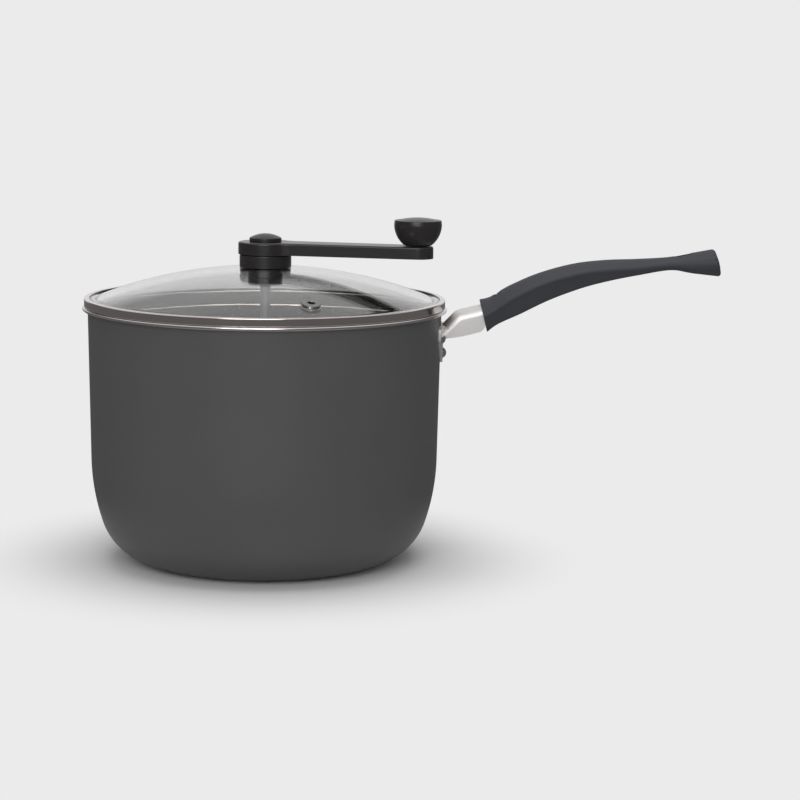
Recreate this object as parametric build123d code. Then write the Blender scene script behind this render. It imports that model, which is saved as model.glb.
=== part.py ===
from build123d import *
import os
from math import asin, cos, degrees, hypot, radians, sin, sqrt, tan

# Stovetop popcorn popper: a deep coated pot, a glass lid and a hand crank that turns a stirrer.
# All sizes are in millimetres. +Z is up, the origin is on the pot's axis on its flat base,
# and the long handle points along +X.

# ---- fits and gaps ---------------------------------------------------------------------
bore_slip = 0.05            # radial clearance of a shaft, pin or screw in its bore
fixed_slip = 0.05           # gap round parts that are fixed to each other
turning_gap = 0.3           # gap between faces that turn past each other
socket_slip = 0.2           # gap round the handle's tang in the moulded grip
skirt_slip = 0.6            # gap between the lid's skirt and the inside of the pot

# ---- pot -------------------------------------------------------------------------------
base_radius = 68.9          # flat part of the base
corner_radius = 36.4        # outside radius of the corner above the base
corner_turn = 71.5          # angle that the corner turns through, in degrees
belly_radius = 135.3        # long arc between the corner and the straight wall
wall_taper = 1.02           # the wall opens outwards by this angle, in degrees
pot_height = 162.2
wall_thickness = 1.8
base_thickness = 3.0
lip_reach = 3.3             # how far the lip stands out from the wall
lip_thickness = 2.0
lip_root = 0.8              # bevel between the wall and the lip
lip_edge = 0.85             # rounding of the lip's outer edge

# ---- lid -------------------------------------------------------------------------------
lid_sheet = 0.8             # thickness of the steel band round the glass
band_overhang = 2.2         # band's outer face, measured outwards from the pot's wall
band_fold = 3.2             # width of the band's fold on top of the glass
band_edge = 0.6             # rounding of the band's outer edges
skirt_depth = 11.0          # how far the skirt reaches into the pot
glass_thickness = 4.0
glass_margin = 5.2          # flat rim round the glass dome
dome_rise = 20.4
vent_inset = 17.9           # steam vent's place, inwards from the dome's edge
vent_bearing = -69.0        # its direction round the lid, in degrees
vent_bore = 2.2             # radius of the hole for the steam
vent_tube = 3.4             # radius of the eyelet's tube
vent_flange = 6.2           # radius of the eyelet's flanges
vent_flange_thickness = 0.8

# ---- crank bearing on the lid ----------------------------------------------------------
shaft_radius = 3.3
housing_radius = 16.4
housing_height = 8.2
housing_wall = 2.0
housing_edge = 0.8
sleeve_radius = 6.0         # threaded sleeve that passes through the glass
sleeve_hole_slip = 0.5      # gap round the sleeve in the glass
upper_gasket_thickness = 2.0
lower_gasket_thickness = 1.0
nut_radius = 10.65
nut_height = 4.9
nut_edge = 0.7
nut_overrun = 2.2           # the nut reaches this far below the sleeve's end
clip_radius = 5.0
clip_thickness = 0.8
clip_groove = 0.55          # depth of the clip's groove in the shaft
clip_mouth = 3.0            # width of the clip's open side

# ---- crank -----------------------------------------------------------------------------
crank_angle = -12.0         # where the crank stands at rest, in degrees about +Z
crank_throw = 98.5          # from the shaft to the knob's spindle
arm_thickness = 7.7
arm_hub_radius = 17.2
arm_neck_width = 22.0       # width of the beam where it leaves the hub
arm_end_radius = 9.8
arm_blend = 14.0            # concave fillet between hub and beam
arm_edge = 1.5
arm_wall = 2.2              # wall round the hollow underside
arm_hollow = 4.2            # depth of the hollow underside
rib_thickness = 1.6
rib_count = 4
hub_boss_wall = 3.4
end_boss_radius = 6.6
flat_width = 5.2            # across the two flats on the shaft's end
shaft_seat_depth = 4.4      # how far the shaft reaches into the arm
arm_web = 1.5               # arm material between the shaft's end and the screw's washer
screw_radius = 2.0
screw_reach = 10.0          # threaded length below the washer
screw_head_radius = 3.6
screw_head_height = 2.2
washer_radius = 5.0
washer_thickness = 0.8
cap_radius = 10.15
cap_rim_height = 2.0
cap_dome_height = 3.7
cap_wall = 1.5
cap_spigot_radius = 7.0
cap_spigot_depth = 1.4

# ---- knob ------------------------------------------------------------------------------
knob_foot_radius = 8.4
knob_foot_height = 0.8
knob_flare = 33.0           # slope of the knob's lower cone from the vertical, in degrees
knob_belly_radius = 15.15
knob_belly_arc = 10.0
knob_belly_height = 14.2    # widest place, above the knob's foot
knob_rim_radius = 14.8
knob_height = 16.9
knob_edge = 0.5
knob_cap_radius = 12.8
knob_cap_depth = 1.6
knob_cap_crown = 0.7
spindle_radius = 3.0
spindle_head_radius = 5.4
spindle_head_height = 2.2
spindle_head_room = 1.1     # gap round the spindle's head in the knob
knob_seat_height = 10.4     # from the knob's underside to the seat of the spindle's head
spindle_nut_size = 8.0      # across flats
spindle_nut_height = 2.4
spindle_end_reach = 0.3     # spindle's end below its nut

# ---- stirrer ---------------------------------------------------------------------------
stirrer_wire_radius = 1.5
wire_floor_gap = 1.5
hub_floor_gap = 0.6
stirrer_hub_radius = 7.0
stirrer_hub_height = 12.4
stirrer_hub_edge = 0.6
shaft_foot_gap = 2.5        # between the wire's axis and the shaft's foot
wire_straight = 9.0         # straight run of the wire each side of the axis
wire_bend_radius = 35.5     # radius of each half of the S
wire_rise_radius = 12.0     # the wire's ends turn up on this radius
wire_rise_turn = 60.0       # by this angle, in degrees
set_screw_radius = 2.0
set_screw_height = 9.0      # above the hub's underside
set_screw_sink = 0.3

# ---- handle bracket --------------------------------------------------------------------
# Places on the handle are measured from the pot's wall at the top edge of the bracket's plate:
# first outwards along +X, then up along +Z.
plate_drop = 10.2           # from the pot's lip down to the plate's top edge
plate_height = 24.0
plate_half_width = 20.0
plate_shoulder = 11.0       # height of the plate's straight sides
plate_foot = 6.0            # half width of the plate's lower end
plate_corner = 4.0
sheet = 1.6                 # thickness of the bracket's sheet
channel_width = 18.0
channel_shoulder = 6.5      # rounding of the channel's upper edges
neck_top = (9.4, 9.0)
neck_foot_drop = 8.5
neck_belly = (12.7, -6.9)
tang_slope = 13.0           # slope of the tang, in degrees
tang_mouth_belly = (26.0, -3.4)
tang_inner_belly = (29.2, 0.7)
tang_length = 48.2
tang_tip_height = 7.6
rivet_radius = 2.5
rivet_head_radius = 3.5
rivet_head_height = 2.3
rivet_inner_height = 1.2
upper_rivet_drop = 7.4      # below the plate's top edge
upper_rivet_offset = 14.5   # to each side of the handle's centre plane
lower_rivet_drop = 18.2
rivet_seat = 0.1            # gap under the rivet's heads, for the curve of the wall

# ---- moulded grip ----------------------------------------------------------------------
# One row for each section: top point, bottom point, half width, the height of the long side
# edge as a share of the section's height, and the rounding of that edge.
grip_sections = (
    ((24.15, 16.1), (29.35, -4.6), 13.0, 0.52, 1.2),
    ((31.35, 18.1), (36.15, 0.5), 12.2, 0.55, 1.2),
    ((42.25, 24.8), (50.15, 7.1), 12.4, 0.62, 1.2),
    ((61.15, 33.3), (68.65, 16.3), 12.6, 0.64, 1.2),
    ((83.15, 39.6), (88.65, 24.0), 12.0, 0.62, 1.2),
    ((103.15, 42.2), (106.35, 28.9), 10.6, 0.56, 1.3),
    ((123.15, 43.1), (124.95, 32.8), 9.2, 0.48, 1.4),
    ((143.15, 44.5), (144.65, 36.6), 8.6, 0.46, 1.7),
    ((157.05, 47.2), (157.65, 35.4), 10.0, 0.48, 3.0),
    ((175.0, 50.3), (177.0, 33.7), 12.0, 0.50, 4.6),
)
grip_crown_share = 0.50     # half width of the rounded crown as a share of the section's
grip_belly_share = 0.62     # half width of the rounded belly, likewise
grip_crown_drop = 0.12      # fall of the crown's arc, as a share of the section's height
grip_belly_drop = 0.09      # rise of the belly's arc, likewise
grip_end_round = 2.2        # rounding of the far end
hang_slot_place = 152.6     # centre of the hanging slot
hang_slot_length = 13.0
hang_slot_width = 6.0
handle_screw_place = 36.0
handle_screw_radius = 1.7
handle_screw_head = 3.3
handle_screw_head_height = 2.0
handle_screw_seat = 2.4     # seat of the screw's head above the tang
handle_screw_reach = 4.0    # screw's length below the tang's top face
handle_screw_recess = 3.5

# ---- places that follow from the sizes --------------------------------------------------
corner_end = (
    base_radius + corner_radius * sin(radians(corner_turn)),
    corner_radius * (1 - cos(radians(corner_turn))),
)
belly_turn = 90 - wall_taper - corner_turn
belly_centre = (
    corner_end[0] - belly_radius * sin(radians(corner_turn)),
    corner_end[1] + belly_radius * cos(radians(corner_turn)),
)
belly_end = (
    belly_centre[0] + belly_radius * cos(radians(wall_taper)),
    belly_centre[1] - belly_radius * sin(radians(wall_taper)),
)


def wall_radius(height):
    """Outside radius of the pot's straight wall at a height."""
    return belly_end[0] + (height - belly_end[1]) * tan(radians(wall_taper))


def inner_wall_radius(height):
    """Inside radius of the pot's straight wall at a height."""
    return wall_radius(height) - wall_thickness / cos(radians(wall_taper))


lip_radius = wall_radius(pot_height) + lip_reach
band_radius = wall_radius(pot_height) + band_overhang
glass_radius = band_radius - lid_sheet - fixed_slip
glass_underside = pot_height + lid_sheet
glass_top = glass_underside + glass_thickness
dome_radius = glass_radius - glass_margin
dome_sphere = (dome_radius ** 2 + dome_rise ** 2) / (2 * dome_rise)
dome_centre = glass_top + dome_rise - dome_sphere
vent_distance = dome_radius - vent_inset
skirt_bottom = pot_height - skirt_depth
skirt_radius = inner_wall_radius(skirt_bottom) - skirt_slip


def dome_height(distance, inset=0.0):
    """Height of the dome's outer face, or of a face inset from it, at a distance from the axis."""
    return dome_centre + sqrt((dome_sphere - inset) ** 2 - distance ** 2)


housing_rim = dome_height(housing_radius - housing_wall) + fixed_slip
housing_top = housing_rim + housing_height
gasket_top = dome_height(sleeve_radius) + upper_gasket_thickness
nut_top = dome_height(nut_radius, glass_thickness) - lower_gasket_thickness
nut_bottom = nut_top - nut_height
sleeve_bottom = nut_bottom + nut_overrun
clip_top = sleeve_bottom - turning_gap
arm_bottom = housing_top + turning_gap
arm_top = arm_bottom + arm_thickness
shaft_top = arm_bottom + shaft_seat_depth
washer_seat = shaft_top + arm_web
knob_bottom = arm_top + turning_gap
spindle_head_seat = knob_bottom + knob_seat_height
spindle_nut_seat = arm_bottom + spindle_nut_height + 2 * spindle_end_reach
wire_height = base_thickness + wire_floor_gap + stirrer_wire_radius
shaft_foot = wire_height + shaft_foot_gap
hub_bottom = base_thickness + hub_floor_gap
plate_top = pot_height - plate_drop
handle_datum = wall_radius(plate_top)


# ---- shared helpers --------------------------------------------------------------------
def turned(outline):
    """Solid of revolution of a closed outline of (radius, height) edges."""
    return revolve(Plane.XZ * make_face(outline), axis=Axis.Z)


def turned_polygon(*points):
    """Solid of revolution of a closed polygon of (radius, height) points."""
    return turned(Polyline(*points, close=True))


def ring(inner, outer, bottom, top):
    """Ring or washer between two heights."""
    return turned_polygon((inner, bottom), (outer, bottom), (outer, top), (inner, top))


def rim(solid, radius, height):
    """The circular edge of a turned solid at a radius and a height."""
    circles = solid.edges().filter_by(GeomType.CIRCLE)
    return circles.sort_by(lambda edge: abs(edge.radius - radius) + abs(edge.center().Z - height))[0]


def rod(radius, bottom, top):
    """Upright round rod between two heights."""
    return Pos(0, 0, bottom) * extrude(Circle(radius), top - bottom)


def dome_arc(start, end, inset=0.0):
    """Arc on the dome, or inset from it, between two distances from the axis."""
    middle = (start + end) / 2
    points = [(reach, dome_height(reach, inset)) for reach in (start, middle, end)]
    return ThreePointArc(*points)


def at_crank(shape):
    """Turn a shape that is drawn along +X to where the crank stands at rest."""
    return Rot(0, 0, crank_angle) * shape


def at_handle(outward, up):
    """Place on the handle's centre plane, from its distances to the plate's top edge."""
    return (handle_datum + outward, plate_top + up)


# ---- pot -------------------------------------------------------------------------------
def make_pot_shell():
    """Pot with a flat base, a round corner, a long belly arc, a tapered wall and a lip."""
    lip_underside = pot_height - lip_thickness
    inner_corner_end = (
        corner_end[0] - wall_thickness * sin(radians(corner_turn)),
        corner_end[1] + wall_thickness * cos(radians(corner_turn)),
    )
    inner_corner_radius = (inner_corner_end[1] - base_thickness) / (1 - cos(radians(corner_turn)))
    floor_radius = inner_corner_end[0] - inner_corner_radius * sin(radians(corner_turn))
    inner_belly_end = (
        belly_end[0] - wall_thickness * cos(radians(wall_taper)),
        belly_end[1] + wall_thickness * sin(radians(wall_taper)),
    )
    corner_heading = (cos(radians(corner_turn)), sin(radians(corner_turn)))
    under_lip = (wall_radius(lip_underside), lip_underside)
    inner_mouth = (inner_wall_radius(pot_height), pot_height)
    outline = [
        Line((0, 0), (base_radius, 0)),
        JernArc((base_radius, 0), (1, 0), corner_radius, corner_turn),
        JernArc(corner_end, corner_heading, belly_radius, belly_turn),
        Line(belly_end, under_lip),
        Polyline(under_lip, (lip_radius, lip_underside), (lip_radius, pot_height), inner_mouth),
        Line(inner_mouth, inner_belly_end),
        JernArc(inner_corner_end, corner_heading, belly_radius - wall_thickness, belly_turn),
        JernArc((floor_radius, base_thickness), (1, 0), inner_corner_radius, corner_turn),
        Polyline((floor_radius, base_thickness), (0, base_thickness), (0, 0)),
    ]
    section = make_face(outline)
    for corner in ((lip_radius, lip_underside), (lip_radius, pot_height)):
        section = fillet(section.vertices().sort_by_distance(corner)[0], lip_edge)
    for corner in (under_lip, inner_mouth):
        section = chamfer(section.vertices().sort_by_distance(corner)[0], lip_root)
    shell = revolve(Plane.XZ * section, axis=Axis.Z)
    for place in rivet_places():
        shell -= place * extrude(Circle(rivet_radius + bore_slip), 4 * wall_thickness, both=True)
    return shell


# ---- handle bracket --------------------------------------------------------------------
def rivet_places():
    """Places of the rivets on the wall's outer face, with the local Z axis pointing outwards."""
    places = []
    for drop, offset in (
        (upper_rivet_drop, upper_rivet_offset),
        (upper_rivet_drop, -upper_rivet_offset),
        (lower_rivet_drop, 0.0),
    ):
        height = plate_top - drop
        bearing = degrees(asin(offset / wall_radius(height)))
        place = Rot(0, 0, bearing) * Pos(wall_radius(height), 0, height) * Rot(0, 90 + wall_taper, 0)
        places.append(place)
    return places


def wall_plate():
    """Shield-shaped plate that follows the pot's wall."""
    low = plate_top - plate_height
    inside = fixed_slip
    strip = turned_polygon(
        (wall_radius(low) + inside, low),
        (wall_radius(low) + inside + sheet, low),
        (wall_radius(plate_top) + inside + sheet, plate_top),
        (wall_radius(plate_top) + inside, plate_top),
    )
    shoulder = plate_top - plate_shoulder
    shield = make_face(Polyline(
        (-plate_half_width, plate_top),
        (-plate_half_width, shoulder),
        (-plate_foot, low),
        (plate_foot, low),
        (plate_half_width, shoulder),
        (plate_half_width, plate_top),
        close=True,
    ))
    shield = fillet(shield.vertices(), plate_corner)
    return strip & extrude(Plane.YZ * shield, lip_radius)


def channel_side(grow):
    """Side outline of the bracket's channel, grown or shrunk by an amount all round."""
    neck_foot = fixed_slip + sheet / 2
    tang_top_end = neck_top[1] + (tang_length - neck_top[0]) * tan(radians(tang_slope))
    side = make_face(Polyline(
        at_handle(neck_foot, 0),
        at_handle(*neck_top),
        at_handle(tang_length, tang_top_end),
        at_handle(tang_length, tang_top_end - tang_tip_height),
        at_handle(*tang_inner_belly),
        at_handle(*tang_mouth_belly),
        at_handle(*neck_belly),
        at_handle(neck_foot, -neck_foot_drop),
        close=True,
    ))
    return offset(side, grow, kind=Kind.INTERSECTION)


def channel_body(grow, open_below):
    """Solid channel with rounded upper edges, grown or shrunk by an amount all round."""
    side = channel_side(grow)
    if open_below:
        drop = 4 * sheet
        side += Pos(0, -drop) * side
        side += Pos(drop, 0) * side
    width = channel_width + 2 * grow
    slab = extrude(Plane.XZ * side, width / 2, both=True)
    top = at_handle(*neck_top)
    along = (cos(radians(tang_slope)), 0, sin(radians(tang_slope)))
    end_plane = Plane(origin=(top[0], 0, top[1]), x_dir=(0, 1, 0), z_dir=along)
    depth = 2 * plate_height
    section = Pos(0, grow - depth / 2) * Rectangle(width, depth)
    section = fillet(section.vertices().group_by(Axis.Y)[-1], channel_shoulder + grow)
    return slab & extrude(end_plane * section, 2 * tang_length, both=True)


def make_handle_bracket():
    """Pressed steel bracket: a plate on the wall and a channel that ends as the grip's tang."""
    channel = channel_body(0.0, False) - channel_body(-sheet, True)
    bracket = wall_plate() + channel
    for place in rivet_places():
        bracket -= place * extrude(Circle(rivet_radius + bore_slip), 4 * sheet, both=True)
    bracket -= handle_screw_plane() * extrude(
        Circle(handle_screw_radius + bore_slip), handle_screw_reach, both=True
    )
    return bracket


def make_bracket_rivets():
    """Three rivets with a domed head outside and a flat head inside the pot."""
    outside = fixed_slip + sheet + rivet_seat
    inside = -wall_thickness - rivet_seat
    head_sphere = (rivet_head_radius ** 2 + rivet_head_height ** 2) / (2 * rivet_head_height)
    head = turned([
        Polyline((0, outside + rivet_head_height), (0, outside), (rivet_head_radius, outside)),
        ThreePointArc(
            (rivet_head_radius, outside),
            (head_sphere * sin(radians(30)), outside + rivet_head_height - head_sphere * (1 - cos(radians(30)))),
            (0, outside + rivet_head_height),
        ),
    ])
    shank = rod(rivet_radius, inside, outside)
    tail = rod(rivet_head_radius, inside - rivet_inner_height, inside)
    rivet = head + shank + tail
    return [place * rivet for place in rivet_places()]


# ---- moulded grip ----------------------------------------------------------------------
def grip_section(top, bottom, half_width, edge_share, side_round):
    """One closed section of the grip: crown, facets, long side edges and belly."""
    top_x, top_z = at_handle(*top)
    low_x, low_z = at_handle(*bottom)
    height = hypot(top_x - low_x, top_z - low_z)
    along = ((top_z - low_z) / height, 0, (low_x - top_x) / height)
    plane = Plane(origin=(low_x, 0, low_z), x_dir=(0, 1, 0), z_dir=along)
    crown = (grip_crown_share * half_width, height * (1 - grip_crown_drop))
    belly = (grip_belly_share * half_width, height * grip_belly_drop)
    edge_height = edge_share * height
    upper = (half_width - side_round / 2, edge_height + side_round)
    lower = (half_width - side_round / 2, edge_height - side_round)
    outline = [
        ThreePointArc((-crown[0], crown[1]), (0, height), crown),
        Line(crown, upper),
        ThreePointArc(upper, (half_width, edge_height), lower),
        Line(lower, belly),
        ThreePointArc(belly, (0, 0), (-belly[0], belly[1])),
        Line((-belly[0], belly[1]), (-lower[0], lower[1])),
        ThreePointArc((-lower[0], lower[1]), (-half_width, edge_height), (-upper[0], upper[1])),
        Line((-upper[0], upper[1]), (-crown[0], crown[1])),
    ]
    return plane * make_face(outline)


def handle_screw_plane():
    """Plane of the handle's screw: on the tang's top face, square to it."""
    rise = neck_top[1] + (handle_screw_place - neck_top[0]) * tan(radians(tang_slope))
    x, z = at_handle(handle_screw_place, rise)
    up = (-sin(radians(tang_slope)), 0, cos(radians(tang_slope)))
    return Plane(origin=(x, 0, z), x_dir=(0, 1, 0), z_dir=up)


def make_handle_grip():
    """Moulded grip with a flared mouth, a waist, a wide tip, a hanging slot and a tang socket."""
    grip = loft([grip_section(*row) for row in grip_sections])
    grip = fillet(grip.faces().sort_by(Axis.X)[-1].edges(), grip_end_round)
    grip -= channel_body(socket_slip, False)
    slot_x, slot_z = at_handle(hang_slot_place, 0)
    slot = Pos(slot_x, 0, slot_z) * SlotOverall(hang_slot_length, hang_slot_width)
    grip -= extrude(slot, plate_height * 3)
    screw = handle_screw_plane()
    grip -= screw * extrude(Circle(handle_screw_radius + bore_slip), handle_screw_seat)
    seat = screw.offset(handle_screw_seat)
    grip -= seat * extrude(Circle(handle_screw_recess), plate_height)
    return grip


def make_handle_screw():
    """Screw that holds the grip to the tang."""
    shank = Pos(0, 0, -handle_screw_reach) * extrude(
        Circle(handle_screw_radius), handle_screw_reach + handle_screw_seat
    )
    head = Pos(0, 0, handle_screw_seat) * extrude(Circle(handle_screw_head), handle_screw_head_height)
    head = chamfer(head.edges().group_by(Axis.Z)[-1], handle_screw_head_height / 3)
    return handle_screw_plane() * (shank + head)


# ---- lid -------------------------------------------------------------------------------
def vent_place():
    """Place of the steam vent on the dome, with the local Z axis square to the glass."""
    tilt = degrees(asin(vent_distance / dome_sphere))
    spot = Pos(vent_distance, 0, dome_height(vent_distance))
    return Rot(0, 0, vent_bearing) * spot * Rot(0, tilt, 0)


def make_lid_glass():
    """Domed glass with a flat rim, a hole for the crank's sleeve and a hole for the vent."""
    hole = sleeve_radius + sleeve_hole_slip
    inner_sphere = dome_sphere - glass_thickness
    inner_edge = sqrt(inner_sphere ** 2 - (glass_underside - dome_centre) ** 2)
    glass = turned([
        dome_arc(hole, dome_radius),
        Polyline(
            (dome_radius, glass_top),
            (glass_radius, glass_top),
            (glass_radius, glass_underside),
            (inner_edge, glass_underside),
        ),
        dome_arc(inner_edge, hole, glass_thickness),
        Line((hole, dome_height(hole, glass_thickness)), (hole, dome_height(hole))),
    ])
    vent = extrude(Circle(vent_tube + fixed_slip), 2 * glass_thickness, both=True)
    return glass - vent_place() * vent


def make_lid_rim_band():
    """Rolled steel band: a fold over the glass, an outer wall, a seat and a skirt."""
    top = glass_top + lid_sheet
    inner_skirt = skirt_radius - lid_sheet
    wall = band_radius - lid_sheet
    section = make_face(Polyline(
        (skirt_radius, skirt_bottom),
        (skirt_radius, pot_height),
        (band_radius, pot_height),
        (band_radius, top),
        (band_radius - band_fold, top),
        (band_radius - band_fold, glass_top),
        (wall, glass_top),
        (wall, glass_underside),
        (inner_skirt, glass_underside),
        (inner_skirt, skirt_bottom),
        close=True,
    ))
    for corner in ((band_radius, pot_height), (band_radius, top)):
        section = fillet(section.vertices().sort_by_distance(corner)[0], band_edge)
    return revolve(Plane.XZ * section, axis=Axis.Z)


def make_steam_vent_eyelet():
    """Rolled eyelet in the glass with a flange on each face."""
    top = rivet_seat
    low = -glass_thickness - rivet_seat
    tube = ring(vent_bore, vent_tube, low, top)
    upper = ring(vent_bore, vent_flange, top, top + vent_flange_thickness)
    lower = ring(vent_bore, vent_flange, low - vent_flange_thickness, low)
    upper = chamfer(rim(upper, vent_flange, top + vent_flange_thickness), vent_flange_thickness / 2)
    return vent_place() * (tube + upper + lower)


# ---- crank bearing on the lid ----------------------------------------------------------
def make_hub_housing():
    """Fixed housing on the glass with a threaded sleeve that the shaft turns in."""
    bore = shaft_radius + bore_slip
    recess = housing_radius - housing_wall
    housing = turned_polygon(
        (bore, sleeve_bottom),
        (sleeve_radius, sleeve_bottom),
        (sleeve_radius, gasket_top),
        (recess, gasket_top),
        (recess, housing_rim),
        (housing_radius, housing_rim),
        (housing_radius, housing_top),
        (bore, housing_top),
    )
    return fillet(rim(housing, housing_radius, housing_top), housing_edge)


def make_upper_gasket():
    """Soft ring between the housing and the glass."""
    inner = sleeve_radius + fixed_slip
    outer = housing_radius - housing_wall - fixed_slip
    clear = -fixed_slip
    return turned([
        dome_arc(inner, outer, clear),
        Polyline(
            (outer, dome_height(outer, clear)),
            (outer, gasket_top),
            (inner, gasket_top),
            (inner, dome_height(inner, clear)),
        ),
    ])


def make_lower_gasket():
    """Soft ring between the nut and the inside of the glass."""
    inner = sleeve_radius + fixed_slip
    outer = nut_radius - nut_edge
    clear = glass_thickness + fixed_slip
    return turned([
        dome_arc(inner, outer, clear),
        Polyline(
            (outer, dome_height(outer, clear)),
            (outer, nut_top),
            (inner, nut_top),
            (inner, dome_height(inner, clear)),
        ),
    ])


def make_hub_nut():
    """Round nut that clamps the housing to the glass from inside."""
    nut = ring(sleeve_radius + fixed_slip, nut_radius, nut_bottom, nut_top)
    rims = [rim(nut, nut_radius, nut_bottom), rim(nut, nut_radius, nut_top)]
    return chamfer(rims, nut_edge)


# ---- crank -----------------------------------------------------------------------------
def flatted(radius, width):
    """Round section with two flats."""
    return Circle(radius) & Rectangle(width, 2 * radius)


def make_crank_shaft():
    """Long shaft with two flats and a threaded hole at its top and a groove for the clip."""
    shaft = rod(shaft_radius, shaft_foot, shaft_top)
    flats = rod(2 * shaft_radius, arm_bottom - turning_gap / 2, shaft_top)
    flats -= Pos(0, 0, arm_bottom - turning_gap / 2) * extrude(
        flatted(shaft_radius, flat_width), shaft_seat_depth + turning_gap
    )
    shaft -= flats
    groove_top = clip_top + fixed_slip
    groove_bottom = clip_top - clip_thickness - fixed_slip
    shaft -= ring(shaft_radius - clip_groove, 2 * shaft_radius, groove_bottom, groove_top)
    thread_bottom = washer_seat - screw_reach - screw_radius
    shaft -= rod(screw_radius + fixed_slip, thread_bottom, shaft_top)
    return at_crank(shaft)


def make_shaft_clip():
    """Open clip in the shaft's groove that stops the shaft from lifting out."""
    inner = shaft_radius - clip_groove + fixed_slip
    clip = ring(inner, clip_radius, clip_top - clip_thickness, clip_top)
    mouth = Pos(clip_radius, 0, clip_top) * Box(2 * clip_radius, clip_mouth, 4 * clip_thickness)
    return at_crank(clip - mouth)


def arm_outline():
    """Keyhole outline of the arm: round hub, tapering beam and round end."""
    half = arm_neck_width / 2
    beam = make_face(Polyline(
        (0, -half),
        (crank_throw, -arm_end_radius),
        (crank_throw, arm_end_radius),
        (0, half),
        close=True,
    ))
    outline = Circle(arm_hub_radius) + beam + Pos(crank_throw, 0) * Circle(arm_end_radius)
    return fillet(outline.vertices().group_by(Axis.X)[0], arm_blend)


def make_crank_arm():
    """Moulded arm with a hollow, ribbed underside, a flatted socket and a bored end boss."""
    outline = arm_outline()
    arm = Pos(0, 0, arm_bottom) * extrude(outline, arm_thickness)
    arm = fillet(arm.faces().sort_by(Axis.Z)[-1].outer_wire().edges(), arm_edge)

    hub_boss = shaft_radius + hub_boss_wall
    hollow = offset(outline, -arm_wall) - Circle(hub_boss)
    hollow -= Pos(crank_throw / 2, 0) * Rectangle(crank_throw, rib_thickness)
    rib_pitch = (crank_throw - arm_hub_radius - arm_end_radius) / rib_count
    for index in range(rib_count):
        place = arm_hub_radius + (index + 0.5) * rib_pitch
        hollow -= Pos(place, 0) * Rectangle(rib_thickness, arm_neck_width)
    arm -= Pos(0, 0, arm_bottom) * extrude(hollow, arm_hollow)

    nut_room = Pos(crank_throw, 0, arm_bottom) * extrude(
        Circle(end_boss_radius), spindle_nut_seat - arm_bottom
    )
    end_boss = Pos(crank_throw, 0, spindle_nut_seat) * extrude(
        Circle(end_boss_radius), arm_top - spindle_nut_seat - arm_edge
    )
    arm = arm - nut_room + end_boss
    arm -= Pos(crank_throw, 0, 0) * rod(spindle_radius + fixed_slip, arm_bottom, arm_top)

    socket = flatted(shaft_radius + fixed_slip, flat_width + 2 * fixed_slip)
    arm -= Pos(0, 0, arm_bottom) * extrude(socket, shaft_seat_depth)
    arm -= rod(screw_radius + fixed_slip, arm_bottom, arm_top)
    arm -= rod(cap_spigot_radius + fixed_slip, washer_seat, arm_top)
    return at_crank(arm)


def make_arm_washer():
    """Flat washer under the arm's screw."""
    washer = ring(screw_radius + fixed_slip, washer_radius, washer_seat, washer_seat + washer_thickness)
    return at_crank(washer)


def make_arm_screw():
    """Screw that holds the arm on the shaft."""
    head_seat = washer_seat + washer_thickness
    shank = rod(screw_radius, washer_seat - screw_reach, head_seat)
    head = rod(screw_head_radius, head_seat, head_seat + screw_head_height)
    head = chamfer(head.edges().group_by(Axis.Z)[-1], screw_head_height / 3)
    return at_crank(shank + head)


def make_hub_cap():
    """Domed cap that snaps over the arm's screw."""
    shoulder = arm_top + cap_rim_height
    crown = shoulder + cap_dome_height
    sphere = (cap_radius ** 2 + cap_dome_height ** 2) / (2 * cap_dome_height)
    centre = crown - sphere
    inner_sphere = sphere - cap_wall
    bore = cap_spigot_radius - cap_wall
    quarter = cap_radius / 2
    cap = turned([
        Polyline(
            (0, centre + inner_sphere), (0, crown),
        ),
        ThreePointArc((0, crown), (quarter, centre + sqrt(sphere ** 2 - quarter ** 2)), (cap_radius, shoulder)),
        Polyline(
            (cap_radius, shoulder),
            (cap_radius, arm_top),
            (cap_spigot_radius, arm_top),
            (cap_spigot_radius, arm_top - cap_spigot_depth),
            (bore, arm_top - cap_spigot_depth),
            (bore, centre + sqrt(inner_sphere ** 2 - bore ** 2)),
        ),
        ThreePointArc(
            (bore, centre + sqrt(inner_sphere ** 2 - bore ** 2)),
            (bore / 2, centre + sqrt(inner_sphere ** 2 - bore ** 2 / 4)),
            (0, centre + inner_sphere),
        ),
    ])
    return at_crank(fillet(rim(cap, cap_radius, shoulder), cap_wall / 2))


# ---- knob ------------------------------------------------------------------------------
def at_knob(shape):
    """Move a shape that is drawn on the Z axis to the crank's far end."""
    return at_crank(Pos(crank_throw, 0, 0) * shape)


def make_knob_spindle():
    """Headed spindle that the knob turns on, held in the arm by a nut."""
    end = spindle_nut_seat - spindle_nut_height - spindle_end_reach
    head_seat = spindle_head_seat + turning_gap
    shank = rod(spindle_radius, end, head_seat)
    head = rod(spindle_head_radius, head_seat, head_seat + spindle_head_height)
    return at_knob(shank + head)


def make_spindle_nut():
    """Hexagon nut on the spindle, inside the arm's hollow end."""
    across_corners = spindle_nut_size / cos(radians(30)) / 2
    nut = extrude(RegularPolygon(across_corners, 6), spindle_nut_height)
    nut = Pos(0, 0, spindle_nut_seat - spindle_nut_height) * nut
    nut -= rod(spindle_radius + fixed_slip, arm_bottom, arm_top)
    return at_knob(nut)


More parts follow.
